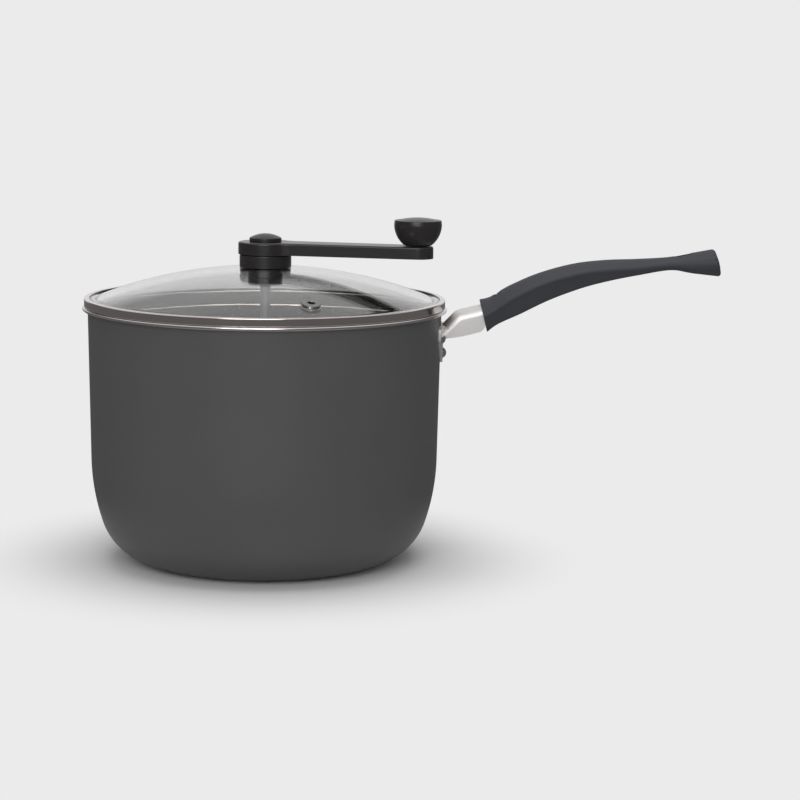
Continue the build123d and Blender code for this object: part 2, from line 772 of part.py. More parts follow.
def make_knob():
    """Bowl-shaped knob that turns freely on its spindle."""
    flare = radians(knob_flare)
    widest = knob_bottom + knob_belly_height
    arc_start = (
        knob_belly_radius - knob_belly_arc * (1 - cos(flare)),
        widest - knob_belly_arc * sin(flare),
    )
    cone_foot_height = knob_bottom + knob_foot_height
    cone_foot = arc_start[0] - (arc_start[1] - cone_foot_height) * tan(flare)
    top = knob_bottom + knob_height
    bore = spindle_radius + bore_slip
    head_room = spindle_head_radius + spindle_head_room
    recess = knob_cap_radius + fixed_slip
    recess_floor = top - knob_cap_depth
    knob = turned([
        Polyline(
            (bore, knob_bottom),
            (knob_foot_radius, knob_bottom),
            (knob_foot_radius, cone_foot_height),
            (cone_foot, cone_foot_height),
            arc_start,
        ),
        JernArc(arc_start, (sin(flare), cos(flare)), knob_belly_arc, knob_flare),
        Polyline(
            (knob_belly_radius, widest),
            (knob_rim_radius, top),
            (recess, top),
            (recess, recess_floor),
            (head_room, recess_floor),
            (head_room, spindle_head_seat),
            (bore, spindle_head_seat),
            (bore, knob_bottom),
        ),
    ])
    return at_knob(fillet(rim(knob, knob_rim_radius, top), knob_edge))


def make_knob_cap():
    """Slightly crowned disc that closes the knob's top."""
    top = knob_bottom + knob_height
    low = top - knob_cap_depth
    crown = top + knob_cap_crown
    sphere = (knob_cap_radius ** 2 + knob_cap_crown ** 2) / (2 * knob_cap_crown)
    middle = knob_cap_radius / 2
    cap = turned([
        Polyline((0, crown), (0, low), (knob_cap_radius, low), (knob_cap_radius, top)),
        ThreePointArc(
            (knob_cap_radius, top),
            (middle, crown - sphere + sqrt(sphere ** 2 - middle ** 2)),
            (0, crown),
        ),
    ])
    return at_knob(cap)


# ---- stirrer ---------------------------------------------------------------------------
def wire_half():
    """Half of the stirrer's wire: straight through the hub, half a turn, and a raised end."""
    bend = wire_bend_radius
    rise = radians(wire_rise_turn)
    start = (0, 0, wire_height)
    leave = (0, wire_straight, wire_height)
    far = (2 * bend, wire_straight, wire_height)
    middle = (bend, wire_straight + bend, wire_height)

    def on_rise(turn):
        return (
            2 * bend,
            wire_straight - wire_rise_radius * sin(turn),
            wire_height + wire_rise_radius * (1 - cos(turn)),
        )

    path = Wire([
        Line(start, leave).edge(),
        ThreePointArc(leave, middle, far).edge(),
        ThreePointArc(far, on_rise(rise / 2), on_rise(rise)).edge(),
    ])
    section = Plane(origin=start, z_dir=(0, 1, 0)) * Circle(stirrer_wire_radius)
    return sweep(section, path=path)


def make_stirrer_wire():
    """S-shaped wire with raised ends that sweeps the floor of the pot."""
    half = wire_half()
    wire = half + Rot(0, 0, 180) * half
    return at_crank(wire)


def make_stirrer_hub():
    """Collar on the shaft's foot that carries the wire."""
    hub = rod(stirrer_hub_radius, hub_bottom, hub_bottom + stirrer_hub_height)
    hub = chamfer(hub.edges().filter_by(GeomType.CIRCLE), stirrer_hub_edge)
    hub -= rod(shaft_radius + fixed_slip, shaft_foot, hub_bottom + stirrer_hub_height)
    wire_hole = Plane(origin=(0, 0, wire_height), z_dir=(0, 1, 0)) * Circle(
        stirrer_wire_radius + fixed_slip
    )
    hub -= extrude(wire_hole, wire_straight, both=True)
    screw_hole = Plane(origin=(0, 0, hub_bottom + set_screw_height), z_dir=(1, 0, 0)) * Circle(
        set_screw_radius + fixed_slip
    )
    hub -= extrude(screw_hole, stirrer_hub_radius)
    return at_crank(hub)


def make_stirrer_set_screw():
    """Set screw that clamps the collar to the shaft."""
    inner = shaft_radius + fixed_slip
    length = stirrer_hub_radius - set_screw_sink - inner
    plane = Plane(origin=(inner, 0, hub_bottom + set_screw_height), z_dir=(1, 0, 0))
    screw = extrude(plane * Circle(set_screw_radius), length)
    socket = extrude(plane.offset(length / 2) * RegularPolygon(set_screw_radius / 2, 6), length)
    return at_crank(screw - socket)


# ---- write one file for each piece -----------------------------------------------------
pieces = {
    "pot_shell": make_pot_shell,
    "handle_bracket": make_handle_bracket,
    "bracket_rivets": make_bracket_rivets,
    "handle_grip": make_handle_grip,
    "handle_screw": make_handle_screw,
    "lid_glass": make_lid_glass,
    "lid_rim_band": make_lid_rim_band,
    "steam_vent_eyelet": make_steam_vent_eyelet,
    "hub_housing": make_hub_housing,
    "upper_gasket": make_upper_gasket,
    "lower_gasket": make_lower_gasket,
    "hub_nut": make_hub_nut,
    "crank_shaft": make_crank_shaft,
    "shaft_clip": make_shaft_clip,
    "crank_arm": make_crank_arm,
    "arm_washer": make_arm_washer,
    "arm_screw": make_arm_screw,
    "hub_cap": make_hub_cap,
    "knob_spindle": make_knob_spindle,
    "spindle_nut": make_spindle_nut,
    "knob": make_knob,
    "knob_cap": make_knob_cap,
    "stirrer_wire": make_stirrer_wire,
    "stirrer_hub": make_stirrer_hub,
    "stirrer_set_screw": make_stirrer_set_screw,
}

def main():
    """Make every piece and write it to its own file."""
    os.makedirs("parts", exist_ok=True)
    for name, make in pieces.items():
        made = make()
        solids = made if isinstance(made, list) else made.solids()
        export_step(Compound(children=list(solids)), f"parts/{name}.step")
        print(name, len(solids), "solid(s)")


if __name__ == "__main__":
    main()
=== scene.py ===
"""Looks of a stovetop popcorn popper: its pieces, their finishes, the studio and the camera.

Sizes are in millimetres, as on a drawing, and become metres where a mesh or a node needs them.
+Z is up, the pot stands on its base at the origin and the long handle points along +X.
"""

import logging
from dataclasses import dataclass
from enum import Enum
from math import asin, cos, degrees, hypot, pi, radians, sin, sqrt, tan

import bmesh
import bpy
from bmesh.types import BMEdge, BMesh, BMVert
from bpy.types import Camera, Light, Material, Mesh, Node, NodeSocket, NodeTree, Object, World
from mathutils import Matrix, Vector

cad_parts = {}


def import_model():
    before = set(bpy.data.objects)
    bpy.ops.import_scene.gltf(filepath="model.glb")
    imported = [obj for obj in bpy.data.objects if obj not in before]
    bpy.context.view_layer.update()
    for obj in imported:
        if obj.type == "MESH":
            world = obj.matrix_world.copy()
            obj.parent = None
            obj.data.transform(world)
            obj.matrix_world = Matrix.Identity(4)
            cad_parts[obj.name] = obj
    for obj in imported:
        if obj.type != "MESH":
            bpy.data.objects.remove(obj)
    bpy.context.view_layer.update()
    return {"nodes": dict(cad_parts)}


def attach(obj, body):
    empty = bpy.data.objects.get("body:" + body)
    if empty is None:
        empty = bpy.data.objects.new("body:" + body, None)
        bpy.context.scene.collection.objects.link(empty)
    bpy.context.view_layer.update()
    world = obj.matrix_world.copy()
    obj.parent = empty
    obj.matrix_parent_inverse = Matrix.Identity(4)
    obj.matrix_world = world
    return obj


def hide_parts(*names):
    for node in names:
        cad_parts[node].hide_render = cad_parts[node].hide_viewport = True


log = logging.getLogger("popcorn_popper")

MM = 0.001
Point = tuple[float, float]
Place = tuple[float, float, float]


class Body(str, Enum):
    """The bodies that move apart from each other."""

    POT = "pot"
    LID = "lid"
    CRANK = "crank"
    KNOB = "knob"


# ---- colours and nodes -------------------------------------------------------------------
def linear(colour: str) -> tuple[float, float, float, float]:
    """Turn an sRGB hex colour into linear values.

    Args:
        colour: colour as "#RRGGBB".

    Returns:
        Linear red, green and blue, with an alpha of 1.
    """
    channels = [int(colour[start:start + 2], 16) / 255 for start in (1, 3, 5)]
    red, green, blue = (c / 12.92 if c <= 0.04045 else ((c + 0.055) / 1.055) ** 2.4 for c in channels)
    return (red, green, blue, 1.0)


def per_metre(size: float) -> float:
    """Texture scale that gives a pattern with features of this size in millimetres."""
    return 1 / (size * MM)


def add_node(
    tree: NodeTree, kind: str, inputs: dict[str | int, object] | None = None, **settings: object,
) -> Node:
    """Add a node with its settings, values and links.

    Args:
        tree: node tree that gets the node.
        kind: Blender's name for the node's type.
        inputs: a value, or the socket to link from, for each input by name or number. A Mix node's
            colours are its inputs 6 and 7, and its colour output is number 2.
        settings: properties of the node itself.

    Returns:
        The new node.
    """
    node = tree.nodes.new(kind)
    for name, value in settings.items():
        setattr(node, name, value)
    for key, value in (inputs or {}).items():
        if isinstance(value, NodeSocket):
            tree.links.new(value, node.inputs[key])
        else:
            node.inputs[key].default_value = value
    return node


def empty_tree(owner: Material | World) -> NodeTree:
    """Clear the node tree of a material or a world.

    Args:
        owner: the material or world.

    Returns:
        Its node tree, with nothing in it yet.
    """
    owner.use_nodes = True
    owner.node_tree.nodes.clear()
    return owner.node_tree


# ---- finishes ----------------------------------------------------------------------------
@dataclass(frozen=True)
class Finish:
    """A surface finish, named for its material and how it was made."""

    name: str
    colour: str

    def material(self) -> Material:
        """Make the material once and reuse it.

        Returns:
            The material of this finish.
        """
        made = bpy.data.materials.get(self.name)
        if made is None:
            made = bpy.data.materials.new(self.name)
            tree = empty_tree(made)
            add_node(tree, "ShaderNodeOutputMaterial", {"Surface": self.surface(tree)})
        return made

    def surface(self, tree: NodeTree) -> NodeSocket:
        """Build the shader.

        Args:
            tree: the material's node tree.

        Returns:
            The shader socket for the surface.
        """
        raise NotImplementedError


@dataclass(frozen=True)
class SatinFinish(Finish):
    """Even satin surface with a fine grain, moulded in plastic or sprayed as a coat."""

    pale: str
    gloss_smooth: float
    gloss_rough: float
    grain: float = 0.9          # the real 0.15 to 0.3 mm is too fine to show
    grain_depth: float = 0.010
    drift: float = 18.0         # slow change of tone and sheen, from the melt's flow or the spray's passes
    ior: float = 1.53

    def surface(self, tree: NodeTree) -> NodeSocket:
        """Build the shader: grain as relief, drift in tone and sheen.

        Args:
            tree: the material's node tree.

        Returns:
            The shader socket for the surface.
        """
        place = add_node(tree, "ShaderNodeTexCoord").outputs["Object"]
        grain, drift = (
            add_node(tree, "ShaderNodeTexNoise", {"Vector": place, "Scale": per_metre(size)}).outputs["Fac"]
            for size in (self.grain, self.drift)
        )
        tone = add_node(
            tree, "ShaderNodeMix", {0: drift, 6: linear(self.colour), 7: linear(self.pale)}, data_type="RGBA",
        )
        gloss = add_node(tree, "ShaderNodeMapRange", {
            "Value": drift, "To Min": self.gloss_smooth, "To Max": self.gloss_rough,
        })
        relief = add_node(tree, "ShaderNodeBump", {
            "Height": grain, "Distance": self.grain_depth * MM, "Strength": 1.0,
        })
        return add_node(tree, "ShaderNodeBsdfPrincipled", {
            "Base Color": tone.outputs[2], "Roughness": gloss.outputs["Result"],
            "Normal": relief.outputs["Normal"], "IOR": self.ior,
        }).outputs["BSDF"]


@dataclass(frozen=True)
class SpeckledCoat(Finish):
    """PTFE-based non-stick coat with the fine pale specks of a second spray."""

    speck: str
    speck_pitch: float = 3.2    # the specks' spacing; the real 1.5 mm is too fine to show
    speck_reach: float = 0.17   # share of the pitch that a speck covers
    speck_fade: float = 1.4     # where a speck has faded out, as a multiple of its reach
    speck_depth: float = 0.02
    roughness: float = 0.36
    ior: float = 1.38

    def surface(self, tree: NodeTree) -> NodeSocket:
        """Build the shader: specks as a change of colour and as relief.

        Args:
            tree: the material's node tree.

        Returns:
            The shader socket for the surface.
        """
        place = add_node(tree, "ShaderNodeTexCoord").outputs["Object"]
        cells = add_node(tree, "ShaderNodeTexVoronoi", {
            "Vector": place, "Scale": per_metre(self.speck_pitch),
        })
        inside = add_node(tree, "ShaderNodeMapRange", {
            "Value": cells.outputs["Distance"], "From Min": self.speck_reach,
            "From Max": self.speck_fade * self.speck_reach, "To Min": 1.0, "To Max": 0.0,
        }).outputs["Result"]
        tone = add_node(
            tree, "ShaderNodeMix", {0: inside, 6: linear(self.colour), 7: linear(self.speck)},
            data_type="RGBA",
        )
        relief = add_node(tree, "ShaderNodeBump", {
            "Height": inside, "Distance": self.speck_depth * MM, "Strength": 1.0,
        })
        return add_node(tree, "ShaderNodeBsdfPrincipled", {
            "Base Color": tone.outputs[2], "Roughness": self.roughness, "Normal": relief.outputs["Normal"],
            "IOR": self.ior,
        }).outputs["BSDF"]


@dataclass(frozen=True)
class TurnedMetal(Finish):
    """Metal finished on a spinning lathe or polishing wheel, with fine rings about the axis."""

    ring_pitch: float = 0.5
    ring_depth: float = 0.004
    wave: float = 28.0          # slow hills left by forming, which bend the reflections a little
    wave_depth: float = 0.03
    gloss_smooth: float = 0.10
    gloss_rough: float = 0.18

    def surface(self, tree: NodeTree) -> NodeSocket:
        """Build the shader: rings in sheen and relief, over slow hills.

        Args:
            tree: the material's node tree.

        Returns:
            The shader socket for the surface.
        """
        place = add_node(tree, "ShaderNodeTexCoord").outputs["Object"]
        flat = add_node(tree, "ShaderNodeVectorMath", {0: place, 1: (1.0, 1.0, 0.0)}, operation="MULTIPLY")
        radius = add_node(tree, "ShaderNodeVectorMath", {0: flat.outputs[0]}, operation="LENGTH")
        height = add_node(tree, "ShaderNodeSeparateXYZ", {0: place})
        along = add_node(
            tree, "ShaderNodeMath", {0: radius.outputs["Value"], 1: height.outputs["Z"]}, operation="ADD",
        )
        rings = add_node(
            tree, "ShaderNodeTexNoise", {"W": along.outputs[0], "Scale": per_metre(self.ring_pitch)},
            noise_dimensions="1D",
        ).outputs["Fac"]
        hills = add_node(tree, "ShaderNodeTexNoise", {"Vector": place, "Scale": per_metre(self.wave)})
        gloss = add_node(tree, "ShaderNodeMapRange", {
            "Value": rings, "To Min": self.gloss_smooth, "To Max": self.gloss_rough,
        })
        waved = add_node(tree, "ShaderNodeBump", {
            "Height": hills.outputs["Fac"], "Distance": self.wave_depth * MM, "Strength": 1.0,
        })
        relief = add_node(tree, "ShaderNodeBump", {
            "Height": rings, "Distance": self.ring_depth * MM, "Strength": 1.0,
            "Normal": waved.outputs["Normal"],
        })
        return add_node(tree, "ShaderNodeBsdfPrincipled", {
            "Base Color": linear(self.colour), "Metallic": 1.0, "Roughness": gloss.outputs["Result"],
            "Normal": relief.outputs["Normal"],
        }).outputs["BSDF"]


@dataclass(frozen=True)
class TemperedGlass(Finish):
    """Tempered glass, pressed and polished, with a slight waviness."""

    lamp_tint: str              # what is left of a lamp's light behind it
    wave: float = 34.0
    wave_depth: float = 0.02
    ior: float = 1.5

    def surface(self, tree: NodeTree) -> NodeSocket:
        """Build the shader: glass to the eye, and a pale filter in a lamp's shadow.

        Args:
            tree: the material's node tree.

        Returns:
            The shader socket for the surface.
        """
        place = add_node(tree, "ShaderNodeTexCoord").outputs["Object"]
        hills = add_node(tree, "ShaderNodeTexNoise", {"Vector": place, "Scale": per_metre(self.wave)})
        relief = add_node(tree, "ShaderNodeBump", {
            "Height": hills.outputs["Fac"], "Distance": self.wave_depth * MM, "Strength": 1.0,
        })
        glass = add_node(tree, "ShaderNodeBsdfPrincipled", {
            "Base Color": linear(self.colour), "Roughness": 0.0, "IOR": self.ior, "Transmission Weight": 1.0,
            "Normal": relief.outputs["Normal"],
        })
        clear = add_node(tree, "ShaderNodeBsdfTransparent", {"Color": linear(self.lamp_tint)})
        path = add_node(tree, "ShaderNodeLightPath")
        return add_node(tree, "ShaderNodeMixShader", {
            "Fac": path.outputs["Is Shadow Ray"], 1: glass.outputs["BSDF"], 2: clear.outputs["BSDF"],
        }).outputs["Shader"]


# Outside of the pot: dark graphite, even and satin.
GRAPHITE_COAT = SatinFinish(
    "ptfe_coat_sprayed_graphite", "#4A4A4B", "#4F4F50", gloss_smooth=0.38, gloss_rough=0.44, grain=1.4,
    grain_depth=0.012, drift=55.0, ior=1.38,
)
# Inside of the pot: near black, with fine pale specks.
SPECKLED_COAT = SpeckledCoat("ptfe_coat_sprayed_speckled", "#2C2C2D", "#77787A")
# The pot's lip and faced base: pale, softly shining, with fine turning rings.
BARE_ALUMINIUM = TurnedMetal("aluminium_turned_bare", "#D6D3D1", gloss_smooth=0.14, gloss_rough=0.26)
# The lid's band: close to a mirror, slightly wavy.
POLISHED_STEEL = TurnedMetal("stainless_steel_roll_polished", "#CEC7C4")
# The bracket: pale satin without clear reflections.
PRESSED_STEEL = TurnedMetal(
    "stainless_steel_pressed_satin", "#E8E6E4", ring_depth=0.001, wave=14.0, gloss_smooth=0.48,
    gloss_rough=0.56,
)
# The vent: darker and duller than the band.
ROLLED_STEEL = TurnedMetal(
    "stainless_steel_rolled_satin", "#8E8D8B", ring_depth=0.001, wave=4.0, gloss_smooth=0.30,
    gloss_rough=0.38,
)
# The rivets' heads: bright and smooth.
RIVET_ALUMINIUM = TurnedMetal("aluminium_rivet_headed", "#C9CACB", ring_depth=0.001, wave=3.0)
# The shaft: a dull mid grey.
SHAFT_STEEL = TurnedMetal("steel_ground_dull", "#777778", gloss_smooth=0.42, gloss_rough=0.52)
# The stirrer: bright wire with faint drawing marks.
WIRE_STEEL = TurnedMetal(
    "stainless_steel_drawn_wire", "#C4C5C6", ring_pitch=0.8, gloss_smooth=0.2, gloss_rough=0.3,
)
# The clip, the washer and the small screws: bluish and fairly dull.
ZINC_PLATE = TurnedMetal("steel_zinc_plated", "#B4B8BC", wave=2.0, gloss_smooth=0.25, gloss_rough=0.4)
# The screw in the grip: nearly black.
DARK_SCREW = TurnedMetal("steel_black_oxide", "#3E3E40", wave=2.0, gloss_smooth=0.35, gloss_rough=0.5)
# The lid: clear, with a hint of grey.
CLEAR_GLASS = TemperedGlass("soda_lime_glass_tempered", "#F2F3F2", "#E6EAE8")
# The housing, crank, cap and knob: near black, with a soft sheen.
BLACK_NYLON = SatinFinish("nylon_moulded_satin", "#221F20", "#282627", gloss_smooth=0.26, gloss_rough=0.32)
# The grip: bluish dark grey, more matte than the nylon.
GRIP_PHENOLIC = SatinFinish(
    "phenolic_moulded_bluish_grey", "#35363B", "#3B3C41", gloss_smooth=0.54, gloss_rough=0.64, grain=1.2,
    ior=1.40,
)
# The gaskets: dark grey rubber, matte.
SILICONE = SatinFinish(
    "silicone_rubber_moulded", "#3A3A3B", "#434344", gloss_smooth=0.5, gloss_rough=0.6, grain=1.5,
)


# ---- meshes ------------------------------------------------------------------------------
def only(parts: list, kind: type) -> list:
    """The parts of one kind, out of what an operator made."""
    return [part for part in parts if isinstance(part, kind)]


def round_off(
    mesh: BMesh, parts: list, reach: float, segments: int, affect: str = "EDGES", clamp: bool = False,
) -> None:
    """Round edges or corners.

    Args:
        mesh: the mesh that they are in.
        parts: the edges or vertices.
        reach: length that the rounding takes, in millimetres.
        segments: faces across the rounding.
        affect: "EDGES" or "VERTICES".
        clamp: whether the rounding stops where it would overlap.
    """
    bmesh.ops.bevel(
        mesh, geom=parts, offset=reach * MM, offset_type="OFFSET", segments=segments, profile=0.5,
        affect=affect, clamp_overlap=clamp, material=-1,
    )


def mark_sharp(mesh: BMesh, angle: float) -> None:
    """Mark the edges that turn more than an angle in degrees as sharp."""
    for edge in mesh.edges:
        edge.smooth = len(edge.link_faces) == 2 and edge.calc_face_angle() < radians(angle)


def placed(name: str, data: Mesh | Light | Camera) -> Object:
    """Put a new object in the scene, at the origin.

    Args:
        name: the object's name.
        data: its mesh, light or camera.

    Returns:
        The object.
    """
    made = bpy.data.objects.new(name, data)
    bpy.context.scene.collection.objects.link(made)
    return made


class Pen:
    """Draws a section line by extruding and spinning its last vertex.

    Its first axis is X. The second is Z for an upright section, or Y for a flat one.
    """

    def __init__(self, start: Point, upright: bool = True) -> None:
        """Begin at a point, in millimetres."""
        self.mesh: BMesh = bmesh.new()
        self.upright = upright
        self.tip: BMVert = self.mesh.verts.new(self.at(start))
        self.first = self.tip
        self.corners: list[tuple[BMVert, float]] = []

    def at(self, point: Point) -> Vector:
        """Place in metres of a point on the pen's plane."""
        across, up = (value * MM for value in point)
        return Vector((across, 0, up)) if self.upright else Vector((across, up, 0))

    def line(self, point: Point, corner: float = 0.0) -> "Pen":
        """Draw a straight line.

        Args:
            point: where the line ends.
            corner: length that the corner at its end is rounded over, or 0.

        Returns:
            The pen, for the next stroke.
        """
        self.tip = bmesh.ops.extrude_vert_indiv(self.mesh, verts=[self.tip])["verts"][0]
        self.tip.co = self.at(point)
        if corner:
            self.corners.append((self.tip, corner))
        return self

    def arc(self, centre: Point, turn: float, steps: int) -> "Pen":
        """Draw an arc.

        Args:
            centre: centre of the arc.
            turn: angle in degrees, positive from the first axis towards the second.
            steps: number of short edges.

        Returns:
            The pen, for the next stroke.
        """
        last = bmesh.ops.spin(
            self.mesh, geom=[self.tip], cent=self.at(centre), axis=(0, -1, 0) if self.upright else (0, 0, 1),
            dvec=(0, 0, 0), angle=radians(turn), steps=steps, use_merge=False, use_duplicate=False,
        )["geom_last"]
        self.tip = only(last, BMVert)[0]
        return self

    def close(self) -> "Pen":
        """Join the last point to the first."""
        self.mesh.edges.new((self.tip, self.first))
        return self

    def soften(self, segments: int = 4) -> "Pen":
        """Round the corners that were asked for.

        Args:
            segments: edges in each rounded corner.

        Returns:
            The pen.
        """
        for vertex, reach in self.corners:
            round_off(self.mesh, [vertex], reach, segments, affect="VERTICES")
        return self

    def turned(self, steps: int) -> BMesh:
        """Spin the section round the Z axis.

        Args:
            steps: number of faces round the axis.

        Returns:
            The closed mesh.
        """
        self.soften()
        bmesh.ops.spin(
            self.mesh, geom=self.mesh.verts[:] + self.mesh.edges[:], cent=(0, 0, 0), axis=(0, 0, 1),
            dvec=(0, 0, 0), angle=2 * pi, steps=steps, use_merge=True, use_duplicate=False,
        )
        return clean(self.mesh)

    def slab(self, along: Vector) -> BMesh:
        """Fill the outline and push it into a solid.

        Args:
            along: direction and depth of the push, in millimetres.

        Returns:
            The closed mesh.
        """
        self.soften()
        face = bmesh.ops.contextual_create(self.mesh, geom=self.mesh.edges[:])["faces"]
        pushed = bmesh.ops.extrude_face_region(self.mesh, geom=face, use_keep_orig=True)["geom"]
        bmesh.ops.translate(self.mesh, verts=only(pushed, BMVert), vec=along * MM)
        return clean(self.mesh)


def clean(mesh: BMesh) -> BMesh:
    """Merge doubles and turn all faces outwards.

    Args:
        mesh: the mesh.

    Returns:
        The same mesh.
    """
    bmesh.ops.remove_doubles(mesh, verts=mesh.verts[:], dist=1e-6)
    bmesh.ops.recalc_face_normals(mesh, faces=mesh.faces[:])
    return mesh


def moved(mesh: BMesh, matrix: Matrix) -> BMesh:
    """Move a mesh by a matrix whose lengths are in metres."""
    bmesh.ops.transform(mesh, matrix=matrix, verts=mesh.verts[:])
    return mesh


def joined(meshes: list[BMesh]) -> BMesh:
    """Put several meshes into one.

    Args:
        meshes: the meshes, which are used up.

    Returns:
        One mesh with all their parts.
    """
    whole = bmesh.new()
    for mesh in meshes:
        carrier = bpy.data.meshes.new("carrier")
        mesh.to_mesh(carrier)
        mesh.free()
        whole.from_mesh(carrier)
        bpy.data.meshes.remove(carrier)
    return whole


def shift(x: float, y: float, z: float) -> Matrix:
    """Matrix of a move in millimetres."""
    return Matrix.Translation(Vector((x, y, z)) * MM)


def turn(angle: float, axis: str) -> Matrix:
    """Matrix of a turn in degrees about an axis through the origin."""
    return Matrix.Rotation(radians(angle), 4, axis)


@dataclass
class Piece:
    """A visible piece: a finished mesh that rides on a body and stands for CAD nodes."""

    name: str
    body: Body
    slot: str
    finishes: tuple[Finish, ...]
    stands_for: tuple[str, ...]
    sharp: float = 34.0         # edges that turn more than this stay sharp, in degrees
    weighted: bool = True       # whether large faces lead the shading

    def show(self, mesh: BMesh) -> Object:
        """Make the object and hand it to its body.

        Args:
            mesh: the finished mesh, which is used up.

        Returns:
            The object.
        """
        mark_sharp(mesh, self.sharp)
        for face in mesh.faces:
            face.smooth = True
        data = bpy.data.meshes.new(self.name)
        mesh.to_mesh(data)
        mesh.free()
        for finish in self.finishes:
            data.materials.append(finish.material())
        made = placed(self.name, data)
        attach(made, self.body.value)
        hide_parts(*self.stands_for)
        if self.weighted:
            weigh_normals(made)
        log.info("%s: %d faces on %s", self.name, len(data.polygons), self.body.value)
        return made


def weigh_normals(piece: Object) -> None:
    """Let large faces lead the shading, so that flats next to small roundings look flat."""
    piece.modifiers.new("weighted_normals", "WEIGHTED_NORMAL").keep_sharp = True


def cut(piece: Object, tools: list[BMesh]) -> None:
    """Cut solids out of a piece and leave it without modifiers.

    Args:
        piece: the piece to cut.
        tools: closed meshes to take away, which are used up.
    """
    tool_data = bpy.data.meshes.new("tool")
    whole = joined(tools)
    whole.to_mesh(tool_data)
    whole.free()
    tool = placed("tool", tool_data)
    difference = piece.modifiers.new("cut", "BOOLEAN")
    difference.operation = "DIFFERENCE"
    difference.solver = "EXACT"
    difference.object = tool
    graph = bpy.context.evaluated_depsgraph_get()
    shaped = bpy.data.meshes.new_from_object(piece.evaluated_get(graph))
    piece.modifiers.clear()
    old = piece.data
    piece.data = shaped
    shaped.name = piece.name
    bpy.data.meshes.remove(old)
    bpy.data.objects.remove(tool)
    bpy.data.meshes.remove(tool_data)


def sharpen(piece: Object, angle: float) -> None:
    """Mark the sharp edges of a piece again after a cut.

    Args:
        piece: the piece.
        angle: edges that turn more than this are sharp, in degrees.
    """
    mesh = bmesh.new()
    mesh.from_mesh(piece.data)
    mark_sharp(mesh, angle)
    mesh.to_mesh(piece.data)
    mesh.free()


# ---- pot ---------------------------------------------------------------------------------
@dataclass
class Pot:
    """Deep pot spun from one aluminium disc, coated in and out, with a bare turned lip."""

    base_radius: float = 68.9
    corner_radius: float = 36.4
    corner_turn: float = 71.5
    belly_radius: float = 135.3
    wall_taper: float = 1.02
    height: float = 162.2
    wall: float = 1.8
    base: float = 3.0
    lip_reach: float = 3.3
    lip_thickness: float = 2.0
    lip_root: float = 0.8
    lip_edge: float = 0.85
    lip_run: float = 2.0        # the wall's last stroke, from which the lip's root is rounded
    coat_stop: float = 0.5      # the outside coat stops this far below the lip's underside
    ground_radius: float = 62.0  # the base is faced bare inside this radius
    ground_skin: float = 0.3    # height up to which a face belongs to the base's underside
    facing_down: float = -0.5   # z of the normal, below which a face inside the radius is still outside

    def __post_init__(self) -> None:
        """Work out the places that follow from the sizes."""
        swing = radians(self.corner_turn)
        self.corner_end = (
            self.base_radius + self.corner_radius * sin(swing), self.corner_radius * (1 - cos(swing)),
        )
        self.belly_centre = (
            self.corner_end[0] - self.belly_radius * sin(swing),
            self.corner_end[1] + self.belly_radius * cos(swing),
        )
        taper = radians(self.wall_taper)
        self.belly_end = (
            self.belly_centre[0] + self.belly_radius * cos(taper),
            self.belly_centre[1] - self.belly_radius * sin(taper),
        )

    def radius(self, height: float) -> float:
        """Outside radius of the straight wall at a height."""
        return self.belly_end[0] + (height - self.belly_end[1]) * tan(radians(self.wall_taper))

    def inner_radius(self, height: float) -> float:
        """Inside radius of the straight wall at a height."""
        return self.radius(height) - self.wall / cos(radians(self.wall_taper))

    @property
    def lip_radius(self) -> float:
        """Outside radius of the lip."""
        return self.radius(self.height) + self.lip_reach

    def shell(self) -> BMesh:
        """Spin the pot's section.

        Returns:
            The mesh, with its finishes chosen face by face.
        """
        swing = radians(self.corner_turn)
        belly_turn = 90 - self.wall_taper - self.corner_turn
        lip_low = self.height - self.lip_thickness
        inner_end_x = self.corner_end[0] - self.wall * sin(swing)
        inner_end_z = self.corner_end[1] + self.wall * cos(swing)
        inner_corner = (inner_end_z - self.base) / (1 - cos(swing))
        floor_radius = inner_end_x - inner_corner * sin(swing)
        taper = radians(self.wall_taper)
        inner_belly_end = (
            self.belly_end[0] - self.wall * cos(taper), self.belly_end[1] + self.wall * sin(taper),
        )
        pen = Pen((0, 0)).line((self.ground_radius, 0)).line((self.base_radius, 0))
        pen.arc((self.base_radius, self.corner_radius), self.corner_turn, steps=26)
        pen.arc(self.belly_centre, belly_turn, steps=16)
        wall_top = lip_low - self.lip_run
        pen.line((self.radius(wall_top), wall_top))
        pen.line((self.radius(lip_low), lip_low), self.lip_root)
        pen.line((self.lip_radius, lip_low), self.lip_edge)
        pen.line((self.lip_radius, self.height), self.lip_edge)
        pen.line((self.inner_radius(self.height), self.height), self.lip_root)
        pen.line(inner_belly_end)
        pen.arc(self.belly_centre, -belly_turn, steps=16)
        pen.arc((floor_radius, self.base + inner_corner), -self.corner_turn, steps=26)
        pen.line((0, self.base))
        mesh = pen.turned(steps=216)
        for face in mesh.faces:
            face.material_index = self.finish_at(face.calc_center_median() / MM, face.normal)
        return mesh

    def finish_at(self, place: Vector, normal: Vector) -> int:
        """Choose the finish at a place.

        Args:
            place: middle of a face, in millimetres.
            normal: the face's normal.

        Returns:
            0 for the coat outside, 1 for the coat inside, 2 for bare metal.
        """
        radius = hypot(place.x, place.y)
        if place.z > self.height - self.lip_thickness - self.coat_stop:
            return 2
        if place.z < self.ground_skin:
            return 2 if radius < self.ground_radius else 0
        outwards = normal.x * place.x + normal.y * place.y > 0
        return 0 if outwards or normal.z < self.facing_down else 1

    def build(self) -> None:
        """Show the pot."""
        finishes = (GRAPHITE_COAT, SPECKLED_COAT, BARE_ALUMINIUM)
        Piece("pot", Body.POT, "pot_body", finishes, ("pot_shell",)).show(self.shell())


